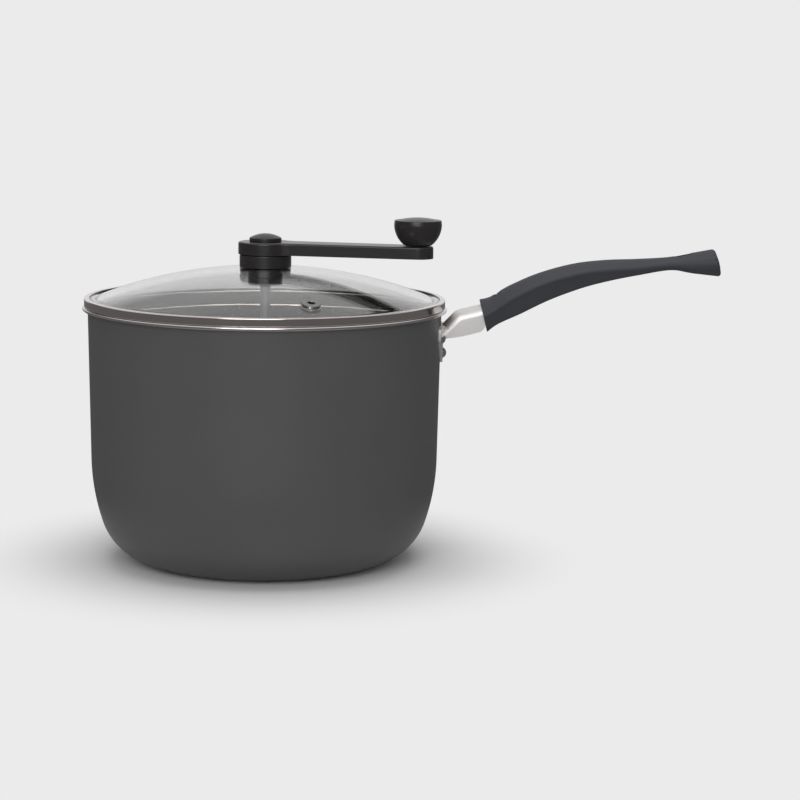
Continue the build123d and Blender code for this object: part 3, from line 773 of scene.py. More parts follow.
# ---- handle ------------------------------------------------------------------------------
@dataclass
class Handle:
    """Pressed steel bracket riveted to the pot, and the moulded grip on its tang."""

    pot: Pot
    slip: float = 0.05
    plate_drop: float = 10.2
    plate_height: float = 24.0
    plate_half_width: float = 20.0
    plate_shoulder: float = 11.0
    plate_foot: float = 6.0
    plate_corner: float = 3.2
    plate_steps: int = 20       # flats across the plate's curve
    sheet: float = 1.6
    channel_width: float = 18.0
    channel_shoulder: float = 6.5
    neck_top: Point = (9.4, 9.0)
    neck_foot_drop: float = 8.5
    neck_belly: Point = (12.7, -6.9)
    tang_slope: float = 13.0
    tang_mouth_belly: Point = (26.0, -3.4)
    tang_inner_belly: Point = (31.5, 5.5)
    tang_length: float = 48.2
    tang_tip_height: float = 5.0
    neck_round: float = 3.0
    tang_round: float = 2.0
    rivet_radius: float = 2.5
    rivet_head_radius: float = 3.5
    rivet_head_height: float = 2.3
    rivet_tail_height: float = 1.2
    rivet_tail_edge: float = 0.5
    upper_rivet_drop: float = 7.4
    upper_rivet_offset: float = 14.5
    lower_rivet_drop: float = 18.2
    crown_share: float = 0.50
    belly_share: float = 0.62
    crown_drop: float = 0.12
    belly_drop: float = 0.09
    slot_place: float = 152.6
    slot_length: float = 13.0
    slot_width: float = 6.0
    screw_place: float = 36.0
    screw_seat: float = 2.4
    screw_recess: float = 3.5
    recess_reach: float = 24.0  # height of the tool, which clears the grip
    slot_reach: float = 72.0    # the same for the slot's tool
    socket_slip: float = 0.2
    grip_sharp: float = 38.0    # edges that turn more than this stay sharp, in degrees
    grip_steps: int = 7         # rings of vertices from one section to the next
    mouth_round: float = 0.5
    end_round: float = 2.2
    # Grip sections: top point, bottom point, half width, height share and rounding of the long edge.
    sections: tuple[tuple[Point, Point, float, float, float], ...] = (
        ((24.15, 16.1), (29.35, -4.6), 13.0, 0.52, 1.2),
        ((31.35, 18.1), (36.15, 0.5), 12.2, 0.55, 1.2),
        ((42.25, 24.8), (50.15, 7.1), 12.4, 0.62, 1.2),
        ((61.15, 33.3), (68.65, 16.3), 12.6, 0.64, 1.2),
        ((83.15, 39.6), (88.65, 24.0), 12.0, 0.62, 1.2),
        ((103.15, 42.2), (106.35, 28.9), 10.6, 0.56, 1.3),
        ((123.15, 43.1), (124.95, 32.8), 9.2, 0.48, 1.4),
        ((143.15, 44.5), (144.65, 36.2), 8.6, 0.46, 1.7),
        ((156.4, 47.0), (157.65, 34.5), 10.0, 0.48, 3.0),
        ((172.6, 50.1), (177.0, 32.5), 12.0, 0.50, 4.6),
    )

    def __post_init__(self) -> None:
        """Work out the datum: the pot's wall at the top edge of the plate."""
        self.plate_top = self.pot.height - self.plate_drop
        self.datum = self.pot.radius(self.plate_top)

    def at(self, outward: float, up: float) -> Point:
        """Place on the handle's centre plane, from its distances to the plate's top edge."""
        return (self.datum + outward, self.plate_top + up)

    def tang_rise(self, outward: float) -> float:
        """Height of the tang's top face above the plate's top edge."""
        return self.neck_top[1] + (outward - self.neck_top[0]) * tan(radians(self.tang_slope))

    # ---- bracket
    def channel_outline(self, grow: float, length: float) -> Pen:
        """Draw the side outline of the channel.

        Args:
            grow: how far the outline is widened at its top and bottom.
            length: where the tang ends.

        Returns:
            A pen with the closed outline.
        """
        foot = self.slip + self.sheet / 2
        pen = Pen(self.at(foot, grow))
        pen.line(self.at(self.neck_top[0], self.neck_top[1] + grow), self.neck_round)
        pen.line(self.at(length, self.tang_rise(length) + grow))
        pen.line(self.at(length, self.tang_rise(length) - self.tang_tip_height - grow))
        for (outward, up), rounding in (
            (self.tang_inner_belly, self.tang_round), (self.tang_mouth_belly, self.tang_round),
            (self.neck_belly, self.neck_round),
        ):
            pen.line(self.at(outward, up - grow), rounding)
        pen.line(self.at(foot, -self.neck_foot_drop - grow))
        return pen.close()

    def channel_block(self, grow: float, length: float) -> BMesh:
        """Make the solid form of the channel with its rounded upper edges.

        Args:
            grow: how far the form is widened all round.
            length: where the tang ends.

        Returns:
            The closed mesh.
        """
        width = self.channel_width + 2 * grow
        mesh = self.channel_outline(grow, length).slab(Vector((0, width, 0)))
        bmesh.ops.translate(mesh, verts=mesh.verts[:], vec=Vector((0, -width / 2, 0)) * MM)
        sideways, level, upward = 0.9, 0.1, 0.3    # limits for a normal's y and z
        top_edges = [
            edge for edge in mesh.edges
            if any(abs(face.normal.y) > sideways for face in edge.link_faces)
            and any(abs(face.normal.y) < level and face.normal.z > upward for face in edge.link_faces)
        ]
        round_off(mesh, top_edges, self.channel_shoulder + grow, segments=8)
        return mesh

    def channel(self) -> BMesh:
        """Make the open channel of sheet steel.

        Returns:
            The mesh with its wall thickness.
        """
        mesh = self.channel_block(0.0, self.tang_length)
        level, downward, tipward = 0.1, -0.2, 0.8   # limits for a normal's y, z and x
        open_side = [
            face for face in mesh.faces
            if abs(face.normal.y) < level and (face.normal.z < downward or face.normal.x > tipward)
        ]
        bmesh.ops.delete(mesh, geom=open_side, context="FACES")
        bmesh.ops.solidify(mesh, geom=mesh.faces[:], thickness=self.sheet * MM)
        return mesh

    def plate(self) -> BMesh:
        """Make the shield-shaped plate that follows the wall.

        Returns:
            The mesh with its wall thickness.
        """
        low = self.plate_top - self.plate_height
        shoulder = self.plate_top - self.plate_shoulder
        half, foot = self.plate_half_width, self.plate_foot
        pen = Pen((0, self.plate_top))
        right = [(half, self.plate_top), (half, shoulder), (foot, low)]
        for point in right + [(-across, up) for across, up in reversed(right)]:
            pen.line(point, self.plate_corner)
        pen.close().soften(segments=5)
        mesh = pen.mesh
        bmesh.ops.contextual_create(mesh, geom=mesh.edges[:])
        for index in range(1, self.plate_steps):
            across = half * (2 * index / self.plate_steps - 1) * MM
            whole = mesh.verts[:] + mesh.edges[:] + mesh.faces[:]
            bmesh.ops.bisect_plane(mesh, geom=whole, plane_co=(across, 0, 0), plane_no=(1, 0, 0))
        for vertex in mesh.verts:
            across, height = vertex.co.x / MM, vertex.co.z / MM
            reach = sqrt((self.pot.radius(height) + self.slip + self.sheet) ** 2 - across ** 2)
            vertex.co = Vector((reach, across, height)) * MM
        bmesh.ops.recalc_face_normals(mesh, faces=mesh.faces[:])
        if sum(face.normal.x for face in mesh.faces) < 0:
            bmesh.ops.reverse_faces(mesh, faces=mesh.faces[:])
        bmesh.ops.solidify(mesh, geom=mesh.faces[:], thickness=self.sheet * MM)
        return mesh

    def rivet_places(self) -> list[Matrix]:
        """Places of the rivets on the wall, with the local Z axis pointing outwards.

        Returns:
            A matrix for each rivet.
        """
        places = []
        for drop, offset in (
            (self.upper_rivet_drop, self.upper_rivet_offset),
            (self.upper_rivet_drop, -self.upper_rivet_offset),
            (self.lower_rivet_drop, 0.0),
        ):
            height = self.plate_top - drop
            radius = self.pot.radius(height)
            bearing = degrees(asin(offset / radius))
            places.append(turn(bearing, "Z") @ shift(radius, 0, height) @ turn(90 + self.pot.wall_taper, "Y"))
        return places

    def rivets(self) -> BMesh:
        """Turn the three rivets, with a domed head outside and a flat head inside.

        Returns:
            One mesh with the three rivets.
        """
        seat = self.slip + self.sheet
        inside = -self.pot.wall
        sphere = (self.rivet_head_radius ** 2 + self.rivet_head_height ** 2) / (2 * self.rivet_head_height)
        swing = degrees(asin(self.rivet_head_radius / sphere))
        made = []
        for place in self.rivet_places():
            pen = Pen((0, inside - self.rivet_tail_height))
            pen.line((self.rivet_head_radius, inside - self.rivet_tail_height), self.rivet_tail_edge)
            pen.line((self.rivet_head_radius, inside)).line((self.rivet_radius, inside))
            pen.line((self.rivet_radius, seat)).line((self.rivet_head_radius, seat))
            pen.arc((0, seat + self.rivet_head_height - sphere), swing, steps=8)
            made.append(moved(pen.turned(steps=32), place))
        return joined(made)

    # ---- grip
    def grip_row(self, station: float) -> tuple[float, ...]:
        """Blend the section rows into one at a place along the grip.

        Args:
            station: place counted in rows, from 0 to one less than their number.

        Returns:
            Top x and z, bottom x and z, half width, edge share and edge rounding.
        """
        rows = [(*row[0], *row[1], *row[2:]) for row in self.sections]
        index = min(int(station), len(rows) - 2)
        part = station - index
        before = rows[max(index - 1, 0)]
        here, after = rows[index], rows[index + 1]
        beyond = rows[min(index + 2, len(rows) - 1)]
        blended = []
        for p0, p1, p2, p3 in zip(before, here, after, beyond):
            start, end = (p2 - p0) / 2, (p3 - p1) / 2
            blended.append(
                p1 + part * start + part ** 2 * (3 * (p2 - p1) - 2 * start - end)
                + part ** 3 * (2 * (p1 - p2) + start + end)
            )
        return tuple(blended)

    def grip_ring(self, station: float) -> list[Vector]:
        """Outline of the grip at a place along it, from the crown down one side and up the other.

        Args:
            station: place counted in rows.

        Returns:
            The points in metres.
        """
        top_x, top_z, low_x, low_z, half, share, rounding = self.grip_row(station)
        high, low = Vector(self.at(top_x, top_z)), Vector(self.at(low_x, low_z))
        height = (high - low).length
        rise = (high - low) / height
        edge = share * height
        crown = (self.crown_share * half, height * (1 - self.crown_drop))
        belly = (self.belly_share * half, height * self.belly_drop)
        upper, lower = (half - rounding / 2, edge + rounding), (half - rounding / 2, edge - rounding)
        quarters = (0.0, 0.25, 0.5, 0.75, 1.0)
        one_side = [(part * crown[0], height - (height - crown[1]) * part ** 2) for part in quarters]
        one_side += [tuple(Vector(crown).lerp(Vector(upper), part)) for part in quarters[1:-1]]
        for swing in map(radians, range(-90, 91, 30)):
            one_side.append((half - rounding / 2 * (1 - cos(swing)), edge - rounding * sin(swing)))
        one_side += [tuple(Vector(lower).lerp(Vector(belly), part)) for part in quarters[1:-1]]
        one_side += [(part * belly[0], belly[1] * part ** 2) for part in reversed(quarters)]
        around = one_side + [(-across, up) for across, up in one_side[-2:0:-1]]
        return [
            Vector((low.x + rise.x * up, across, low.y + rise.y * up)) * MM for across, up in around
        ]

    def grip(self) -> BMesh:
        """Push one ring of vertices from section to section along the grip.

        Returns:
            The closed mesh, without its openings.
        """
        mesh = bmesh.new()
        count = (len(self.sections) - 1) * self.grip_steps
        rings = [self.grip_ring(index / self.grip_steps) for index in range(count + 1)]
        ring = bmesh.ops.create_circle(mesh, cap_ends=False, segments=len(rings[0]), radius=MM)["verts"]
        for vertex, place in zip(ring, rings[0]):
            vertex.co = place
        edges = mesh.edges[:]
        mouth = edges
        for places in rings[1:]:
            made = bmesh.ops.extrude_edge_only(mesh, edges=edges)["geom"]
            edges, new = only(made, BMEdge), set(only(made, BMVert))
            ring = [
                next(edge.other_vert(vertex) for edge in vertex.link_edges if edge.other_vert(vertex) in new)
                for vertex in ring
            ]
            for vertex, place in zip(ring, places):
                vertex.co = place
        for rim, reach, segments in ((mouth, self.mouth_round, 3), (edges, self.end_round, 6)):
            cap = bmesh.ops.holes_fill(mesh, edges=rim, sides=0)["faces"][0]
            round_off(mesh, cap.edges[:], reach, segments)
        return clean(mesh)

    def slot_tool(self) -> BMesh:
        """Make the tool for the hanging slot.

        Returns:
            The closed mesh, in its place.
        """
        x, z = self.at(self.slot_place, 0)
        straight = (self.slot_length - self.slot_width) / 2
        radius = self.slot_width / 2
        pen = Pen((x + straight, -radius), upright=False)
        pen.arc((x + straight, 0), 180, steps=16).line((x - straight, radius))
        pen.arc((x - straight, 0), 180, steps=16).close()
        return moved(pen.slab(Vector((0, 0, self.slot_reach))), shift(0, 0, z))

    def recess_tool(self) -> BMesh:
        """Make the tool for the screw's recess.

        Returns:
            The closed mesh, in its place.
        """
        x, z = self.at(self.screw_place, self.tang_rise(self.screw_place))
        pen = Pen((0, self.screw_seat)).line((self.screw_recess, self.screw_seat))
        pen.line((self.screw_recess, self.recess_reach)).line((0, self.recess_reach))
        return moved(pen.turned(steps=48), shift(x, 0, z) @ turn(-self.tang_slope, "Y"))

    def build(self) -> None:
        """Show the bracket, the rivets and the grip."""
        bracket = Piece(
            "bracket", Body.POT, "bracket_steel", (PRESSED_STEEL,), ("handle_bracket",), sharp=50.0,
        )
        bracket.show(joined([self.channel(), self.plate()]))
        Piece("rivets", Body.POT, "rivet_metal", (RIVET_ALUMINIUM,), ("bracket_rivets",)).show(self.rivets())
        grip = Piece("grip", Body.POT, "grip_plastic", (GRIP_PHENOLIC,), ("handle_grip",), weighted=False)
        made = grip.show(self.grip())
        socket = self.channel_block(self.socket_slip, self.tang_length + self.socket_slip)
        cut(made, [self.slot_tool(), self.recess_tool(), socket])
        sharpen(made, self.grip_sharp)
        weigh_normals(made)


# ---- lid ---------------------------------------------------------------------------------
@dataclass
class Lid:
    """Domed glass in a rolled steel band, with a steam vent."""

    pot: Pot
    sheet: float = 0.8
    slip: float = 0.05
    band_overhang: float = 2.2
    band_fold: float = 3.2
    band_edge: float = 0.9
    skirt_depth: float = 11.0
    skirt_slip: float = 0.6
    skirt_hem: float = 0.9      # height and reach of the bead rolled inwards at the skirt's foot
    skirt_edge: float = 0.3
    skirt_root: float = 0.8
    fold_edge: float = 0.35
    glass: float = 4.0
    glass_margin: float = 5.2
    glass_edge: float = 1.0
    dome_blend: float = 2.2     # roundings where the dome meets the flat rim, above and below
    inner_blend: float = 1.6
    dome_rise: float = 20.4
    sleeve_hole: float = 6.5
    vent_inset: float = 17.9
    vent_bearing: float = -69.0
    vent_bore: float = 2.2
    vent_tube: float = 3.4
    vent_flange: float = 6.2
    vent_flange_thickness: float = 0.8
    vent_seat: float = 0.1
    vent_edge: float = 0.3
    vent_crown: float = 0.35
    vent_mouth: float = 0.7

    def __post_init__(self) -> None:
        """Work out the places that follow from the sizes."""
        self.band_radius = self.pot.radius(self.pot.height) + self.band_overhang
        self.glass_radius = self.band_radius - self.sheet - self.slip
        self.underside = self.pot.height + self.sheet
        self.top = self.underside + self.glass
        self.dome_radius = self.glass_radius - self.glass_margin
        self.sphere = (self.dome_radius ** 2 + self.dome_rise ** 2) / (2 * self.dome_rise)
        self.centre = self.top + self.dome_rise - self.sphere
        self.skirt_bottom = self.pot.height - self.skirt_depth
        self.skirt_radius = self.pot.inner_radius(self.skirt_bottom) - self.skirt_slip

    def dome(self, distance: float, inset: float = 0.0) -> float:
        """Height of the dome's face, or of one inset from it, at a distance from the axis."""
        return self.centre + sqrt((self.sphere - inset) ** 2 - distance ** 2)

    def glass_mesh(self) -> BMesh:
        """Spin the glass's section.

        Returns:
            The closed mesh, without the vent's hole.
        """
        inner = self.sphere - self.glass
        inner_edge = sqrt(inner ** 2 - (self.underside - self.centre) ** 2)
        centre = (0.0, self.centre)
        outer_swing = degrees(asin(self.dome_radius / self.sphere) - asin(self.sleeve_hole / self.sphere))
        inner_swing = degrees(asin(inner_edge / inner) - asin(self.sleeve_hole / inner))
        pen = Pen((self.sleeve_hole, self.dome(self.sleeve_hole)))
        pen.arc(centre, -outer_swing, steps=34)
        pen.corners.append((pen.tip, self.dome_blend))
        pen.line((self.glass_radius, self.top), self.glass_edge)
        pen.line((self.glass_radius, self.underside), self.glass_edge)
        pen.line((inner_edge, self.underside), self.inner_blend)
        pen.arc(centre, inner_swing, steps=34).close()
        return pen.turned(steps=192)

    def band_mesh(self) -> BMesh:
        """Spin the band's section.

        Returns:
            The closed mesh.
        """
        top = self.top + self.sheet
        inner_skirt = self.skirt_radius - self.sheet
        wall = self.band_radius - self.sheet
        low = self.skirt_bottom
        pen = Pen((self.skirt_radius - self.sheet / 2, low)).line((self.skirt_radius, low), self.skirt_edge)
        pen.line((self.skirt_radius, self.pot.height), self.skirt_edge)
        pen.line((self.band_radius, self.pot.height), self.band_edge)
        pen.line((self.band_radius, top), self.band_edge)
        pen.line((self.band_radius - self.band_fold, top), self.fold_edge)
        pen.line((self.band_radius - self.band_fold, self.top), self.fold_edge)
        pen.line((wall, self.top)).line((wall, self.underside))
        pen.line((inner_skirt, self.underside), self.skirt_root)
        pen.line((inner_skirt, low + 2 * self.skirt_hem))
        pen.arc((inner_skirt, low + self.skirt_hem), 180, steps=10)
        return pen.close().turned(steps=216)

    def vent_matrix(self) -> Matrix:
        """Find the vent's place on the dome, with the local Z axis square to the glass.

        Returns:
            The matrix.
        """
        distance = self.dome_radius - self.vent_inset
        tilt = degrees(asin(distance / self.sphere))
        return turn(self.vent_bearing, "Z") @ shift(distance, 0, self.dome(distance)) @ turn(tilt, "Y")

    def vent_mesh(self) -> BMesh:
        """Turn the rolled eyelet.

        Returns:
            The closed mesh, in its place.
        """
        high = self.vent_seat + self.vent_flange_thickness
        low = -self.glass - high
        pen = Pen((self.vent_bore, low)).line((self.vent_flange, low), self.vent_edge)
        pen.line((self.vent_flange, low + self.vent_flange_thickness), self.vent_edge)
        pen.line((self.vent_tube, low + self.vent_flange_thickness)).line((self.vent_tube, self.vent_seat))
        pen.line((self.vent_flange, self.vent_seat), self.vent_edge)
        pen.line((self.vent_flange, high), self.vent_crown).line((self.vent_bore, high), self.vent_mouth)
        return moved(pen.close().turned(steps=64), self.vent_matrix())

    def vent_tool(self) -> BMesh:
        """Make the tool for the vent's hole in the glass.

        Returns:
            The closed mesh, in its place.
        """
        reach, radius = 2 * self.glass, self.vent_tube + self.slip
        pen = Pen((0, -reach)).line((radius, -reach)).line((radius, reach)).line((0, reach))
        return moved(pen.turned(steps=48), self.vent_matrix())

    def build(self) -> None:
        """Show the glass, the band and the vent."""
        body = Body.LID
        glass = Piece("glass", body, "lid_glass", (CLEAR_GLASS,), ("lid_glass",), sharp=60.0, weighted=False)
        cut(glass.show(self.glass_mesh()), [self.vent_tool()])
        Piece("rim_band", body, "band_steel", (POLISHED_STEEL,), ("lid_rim_band",)).show(self.band_mesh())
        vent = Piece("steam_vent", body, "vent_steel", (ROLLED_STEEL,), ("steam_vent_eyelet",))
        vent.show(self.vent_mesh())


# ---- crank -------------------------------------------------------------------------------
@dataclass
class Bearing:
    """Fixed housing on the glass, and the nut that clamps it from inside."""

    lid: Lid
    shaft_radius: float = 3.3
    slip: float = 0.05
    radius: float = 16.4
    height: float = 8.2
    wall: float = 2.0
    edge: float = 0.8
    bore_edge: float = 0.3      # break of the edges round the bore and inside the rim
    foot_edge: float = 0.4
    sleeve_radius: float = 6.0
    gasket: float = 2.0
    lower_gasket: float = 1.0
    nut_radius: float = 10.9
    nut_height: float = 7.2
    nut_edge: float = 0.7
    nut_overrun: float = 4.5

    def __post_init__(self) -> None:
        """Work out the heights that follow from the dome."""
        self.rim = self.lid.dome(self.radius - self.wall) + self.slip
        self.top = self.rim + self.height
        self.gasket_top = self.lid.dome(self.sleeve_radius) + self.gasket
        self.nut_top = self.lid.dome(self.nut_radius, self.lid.glass) - self.lower_gasket
        self.nut_bottom = self.nut_top - self.nut_height
        self.sleeve_bottom = self.nut_bottom + self.nut_overrun

    def housing_mesh(self) -> BMesh:
        """Turn the housing with its sleeve.

        Returns:
            The closed mesh.
        """
        bore = self.shaft_radius + self.slip
        recess = self.radius - self.wall
        pen = Pen((bore, self.sleeve_bottom)).line((self.sleeve_radius, self.sleeve_bottom), self.foot_edge)
        pen.line((self.sleeve_radius, self.gasket_top)).line((recess, self.gasket_top))
        pen.line((recess, self.rim), self.bore_edge).line((self.radius, self.rim), self.foot_edge)
        pen.line((self.radius, self.top), self.edge).line((bore, self.top), self.bore_edge)
        return pen.close().turned(steps=96)

    def nut_mesh(self) -> BMesh:
        """Turn the round nut.

        Returns:
            The closed mesh.
        """
        inner = self.sleeve_radius + self.slip
        pen = Pen((inner, self.nut_bottom)).line((self.nut_radius, self.nut_bottom), self.nut_edge)
        pen.line((self.nut_radius, self.nut_top), self.nut_edge).line((inner, self.nut_top))
        return pen.close().turned(steps=96)

    def build(self) -> None:
        """Show the housing and the nut."""
        housing = Piece("crank_housing", Body.LID, "crank_plastic", (BLACK_NYLON,), ("hub_housing",))
        housing.show(self.housing_mesh())
        Piece("crank_nut", Body.LID, "nut_plastic", (BLACK_NYLON,), ("hub_nut",)).show(self.nut_mesh())


@dataclass
class Crank:
    """Moulded arm, its cap, the shaft through the lid and the stirrer on its foot."""

    bearing: Bearing
    angle: float = -12.0
    throw: float = 98.5
    gap: float = 0.3
    thickness: float = 7.7
    hub_radius: float = 17.2
    neck_width: float = 22.0
    end_radius: float = 9.8
    blend: float = 14.0
    edge: float = 1.2
    wall: float = 2.2
    hollow: float = 4.2
    rib: float = 1.6
    ribs: int = 4
    end_boss: float = 6.6
    end_bore: float = 5.2
    hub_boss: float = 6.7
    roof_bite: float = 0.3      # how far ribs and bosses reach into the arm's roof
    cap_radius: float = 10.15
    cap_rim: float = 2.4
    cap_dome: float = 2.8
    cap_edge: float = 0.3
    cap_foot_edge: float = 0.25
    shaft_seat: float = 4.4
    shaft_foot: float = 8.5
    shaft_edge: float = 0.4
    stub_share: float = 0.8     # radius of the stub in the arm, as a share of the shaft's
    stub_taper: float = 0.1
    groove_depth: float = 0.55
    clip: float = 0.8
    wire_radius: float = 1.5
    wire_height: float = 6.0
    wire_straight: float = 9.0
    wire_bend: float = 35.5
    wire_rise_radius: float = 12.0
    wire_rise_turn: float = 60.0
    wire_end_edge: float = 0.5
    stirrer_hub_radius: float = 7.0
    stirrer_hub_bottom: float = 3.6
    stirrer_hub_height: float = 12.4
    stirrer_hub_edge: float = 0.6
    stirrer_hub_mouth: float = 0.4

    def __post_init__(self) -> None:
        """Work out the heights that follow from the bearing."""
        self.bottom = self.bearing.top + self.gap
        self.top = self.bottom + self.thickness

    def place(self) -> Matrix:
        """Turn from a drawing along +X to where the crank stands at rest."""
        return turn(self.angle, "Z")

    def arm_outline(self) -> Pen:
        """Draw the keyhole outline of the arm.

        Returns:
            A pen with an outline whose last point lies on its first.
        """
        hub, end, blend_radius = self.hub_radius, self.end_radius, self.blend
        half = self.neck_width / 2
        slope = (end - half) / self.throw
        reach = hub + blend_radius
        lift = half + blend_radius * sqrt(1 + slope ** 2)
        centre_x = (-slope * lift + sqrt(reach ** 2 * (1 + slope ** 2) - lift ** 2)) / (1 + slope ** 2)
        centre_y = lift + slope * centre_x
        lean = degrees(asin(centre_x / reach))
        tilt = degrees(asin(-slope))
        end_swing = 180 - 2 * tilt
        pen = Pen((hub * sin(radians(lean)), hub * cos(radians(lean))), upright=False)
        pen.arc((0, 0), 360 - 2 * (90 - lean), steps=64)
        pen.arc((centre_x, -centre_y), -(lean + tilt), steps=14)
        pen.line((self.throw + end * sin(radians(tilt)), -end * cos(radians(tilt))))
        pen.arc((self.throw, 0), end_swing, steps=28)
        far_x = centre_x - blend_radius * sin(radians(-tilt))
        pen.line((far_x, centre_y - blend_radius * cos(radians(tilt))))
        pen.arc((centre_x, centre_y), -(lean + tilt), steps=14)
        return pen

    def arm_mesh(self) -> BMesh:
        """Mould the arm with its rounded top edge and its ribbed, hollow underside.

        Returns:
            The mesh, in its place.
        """
        outline = self.arm_outline()
        clean(outline.mesh)
        mesh = moved(outline.slab(Vector((0, 0, self.thickness))), shift(0, 0, self.bottom))
        top = max(mesh.faces, key=lambda each: each.calc_center_median().z)
        low = min(mesh.faces, key=lambda each: each.calc_center_median().z)
        round_off(mesh, top.edges[:], self.edge, segments=6)
        bmesh.ops.inset_region(mesh, faces=[low], thickness=self.wall * MM, use_even_offset=True)
        hollow = bmesh.ops.extrude_face_region(mesh, geom=[low])["geom"]
        bmesh.ops.delete(mesh, geom=[low], context="FACES_ONLY")
        bmesh.ops.translate(mesh, verts=only(hollow, BMVert), vec=(0, 0, self.hollow * MM))
        bmesh.ops.recalc_face_normals(mesh, faces=mesh.faces[:])
        return moved(joined([mesh] + self.arm_stiffening()), self.place())

    def arm_stiffening(self) -> list[BMesh]:
        """Make the ribs and bosses in the arm's hollow underside.

        Returns:
            The meshes, on a drawing along +X.
        """
        roof = self.bottom + self.hollow + self.roof_bite
        start, end = self.hub_boss, self.throw - self.end_boss
        ribs = [((start + end) / 2, end - start, self.rib)]
        pitch = (self.throw - self.hub_radius - self.end_radius) / self.ribs
        for index in range(self.ribs):
            ribs.append((self.hub_radius + (index + 0.5) * pitch, self.rib, 2 * self.end_radius - self.wall))
        made = []
        for place, length, width in ribs:
            rib = bmesh.new()
            bmesh.ops.create_cube(rib, size=MM)
            size = Matrix.Diagonal((length, width, roof - self.bottom, 1.0))
            made.append(moved(moved(rib, size), shift(place, 0, (roof + self.bottom) / 2)))
        bore = self.bearing.shaft_radius + self.bearing.slip
        for radius, inner, place in ((self.hub_boss, bore, 0.0), (self.end_boss, self.end_bore, self.throw)):
            pen = Pen((inner, self.bottom)).line((radius, self.bottom))
            pen.line((radius, roof)).line((inner, roof))
            made.append(moved(pen.close().turned(steps=48), shift(place, 0, 0)))
        return made

    def cap_mesh(self) -> BMesh:
        """Turn the domed cap on the arm's hub.

        Returns:
            The closed mesh, in its place.
        """
        shoulder = self.top + self.cap_rim
        sphere = (self.cap_radius ** 2 + self.cap_dome ** 2) / (2 * self.cap_dome)
        swing = degrees(asin(self.cap_radius / sphere))
        pen = Pen((0, self.top)).line((self.cap_radius, self.top), self.cap_foot_edge)
        pen.line((self.cap_radius, shoulder), self.cap_edge)
        pen.arc((0, shoulder + self.cap_dome - sphere), swing, steps=16)
        return moved(pen.turned(steps=96), self.place())

    def shaft_mesh(self) -> BMesh:
        """Turn the shaft with its clip groove.

        Returns:
            The closed mesh, in its place.
        """
        radius = self.bearing.shaft_radius
        groove, stub = radius - self.groove_depth, self.stub_share * radius
        clip_top = self.bearing.sleeve_bottom - self.gap
        pen = Pen((0, self.shaft_foot)).line((radius, self.shaft_foot), self.shaft_edge)
        for point in (
            (radius, clip_top - self.clip), (groove, clip_top - self.clip), (groove, clip_top),
            (radius, clip_top), (radius, self.bottom), (stub, self.bottom + self.stub_taper),
            (stub, self.bottom + self.shaft_seat), (0, self.bottom + self.shaft_seat),
        ):
            pen.line(point)
        return moved(pen.turned(steps=48), self.place())

    def wire_mesh(self) -> BMesh:
        """Push a round section through the S of the stirrer.

        Returns:
            The closed mesh, in its place.
        """
        mesh = bmesh.new()
        height = self.wire_height * MM
        bmesh.ops.create_circle(mesh, cap_ends=False, segments=20, radius=self.wire_radius * MM)
        moved(mesh, Matrix.Translation((0, 0, height)) @ turn(90, "X"))
        edges = mesh.edges[:]
        strokes = (
            (Vector((0, self.wire_straight * MM, 0)), None, None, 0.0, 3),
            (None, (self.wire_bend, self.wire_straight, self.wire_height), (0, 0, -1), 180.0, 48),
            (None, (2 * self.wire_bend, self.wire_straight, self.wire_height + self.wire_rise_radius),
             (-1, 0, 0), self.wire_rise_turn, 14),
        )
        for travel, centre, axis, swing, steps in strokes:
            made = bmesh.ops.spin(
                mesh, geom=edges, cent=Vector(centre or (0, 0, 0)) * MM, axis=axis or (0, 0, 1),
                dvec=(travel or Vector()) / steps, angle=radians(swing), steps=steps, use_merge=False,
                use_duplicate=False,
            )["geom_last"]
            edges = only(made, BMEdge)
        end = bmesh.ops.holes_fill(mesh, edges=edges, sides=0)["faces"]
        round_off(mesh, end[0].edges[:], self.wire_end_edge, segments=3, clamp=True)
        other = mesh.copy()
        moved(other, turn(180, "Z"))
        return moved(clean(joined([mesh, other])), self.place())

    def collar_mesh(self) -> BMesh:
        """Turn the collar that carries the wire.

        Returns:
            The closed mesh, in its place.
        """
        low, high = self.stirrer_hub_bottom, self.stirrer_hub_bottom + self.stirrer_hub_height
        radius, bore = self.stirrer_hub_radius, self.bearing.shaft_radius + self.bearing.slip
        pen = Pen((0, low)).line((radius, low), self.stirrer_hub_edge)
        pen.line((radius, high), self.stirrer_hub_edge)
        pen.line((bore, high), self.stirrer_hub_mouth)
        pen.line((bore, self.shaft_foot)).line((0, self.shaft_foot))
        return moved(pen.turned(steps=64), self.place())

    def build(self) -> None:
        """Show the arm, the cap, the shaft and the stirrer."""
        for name, slot, finish, node, mesh, weighted in (
            ("crank_arm_moulding", "crank_plastic", BLACK_NYLON, "crank_arm", self.arm_mesh(), True),
            ("crank_cap", "crank_plastic", BLACK_NYLON, "hub_cap", self.cap_mesh(), True),
            ("shaft", "shaft_steel", SHAFT_STEEL, "crank_shaft", self.shaft_mesh(), True),
            ("stirring_wire", "wire_steel", WIRE_STEEL, "stirrer_wire", self.wire_mesh(), False),
            ("stirrer_collar", "wire_steel", WIRE_STEEL, "stirrer_hub", self.collar_mesh(), True),
        ):
            Piece(name, Body.CRANK, slot, (finish,), (node,), weighted=weighted).show(mesh)


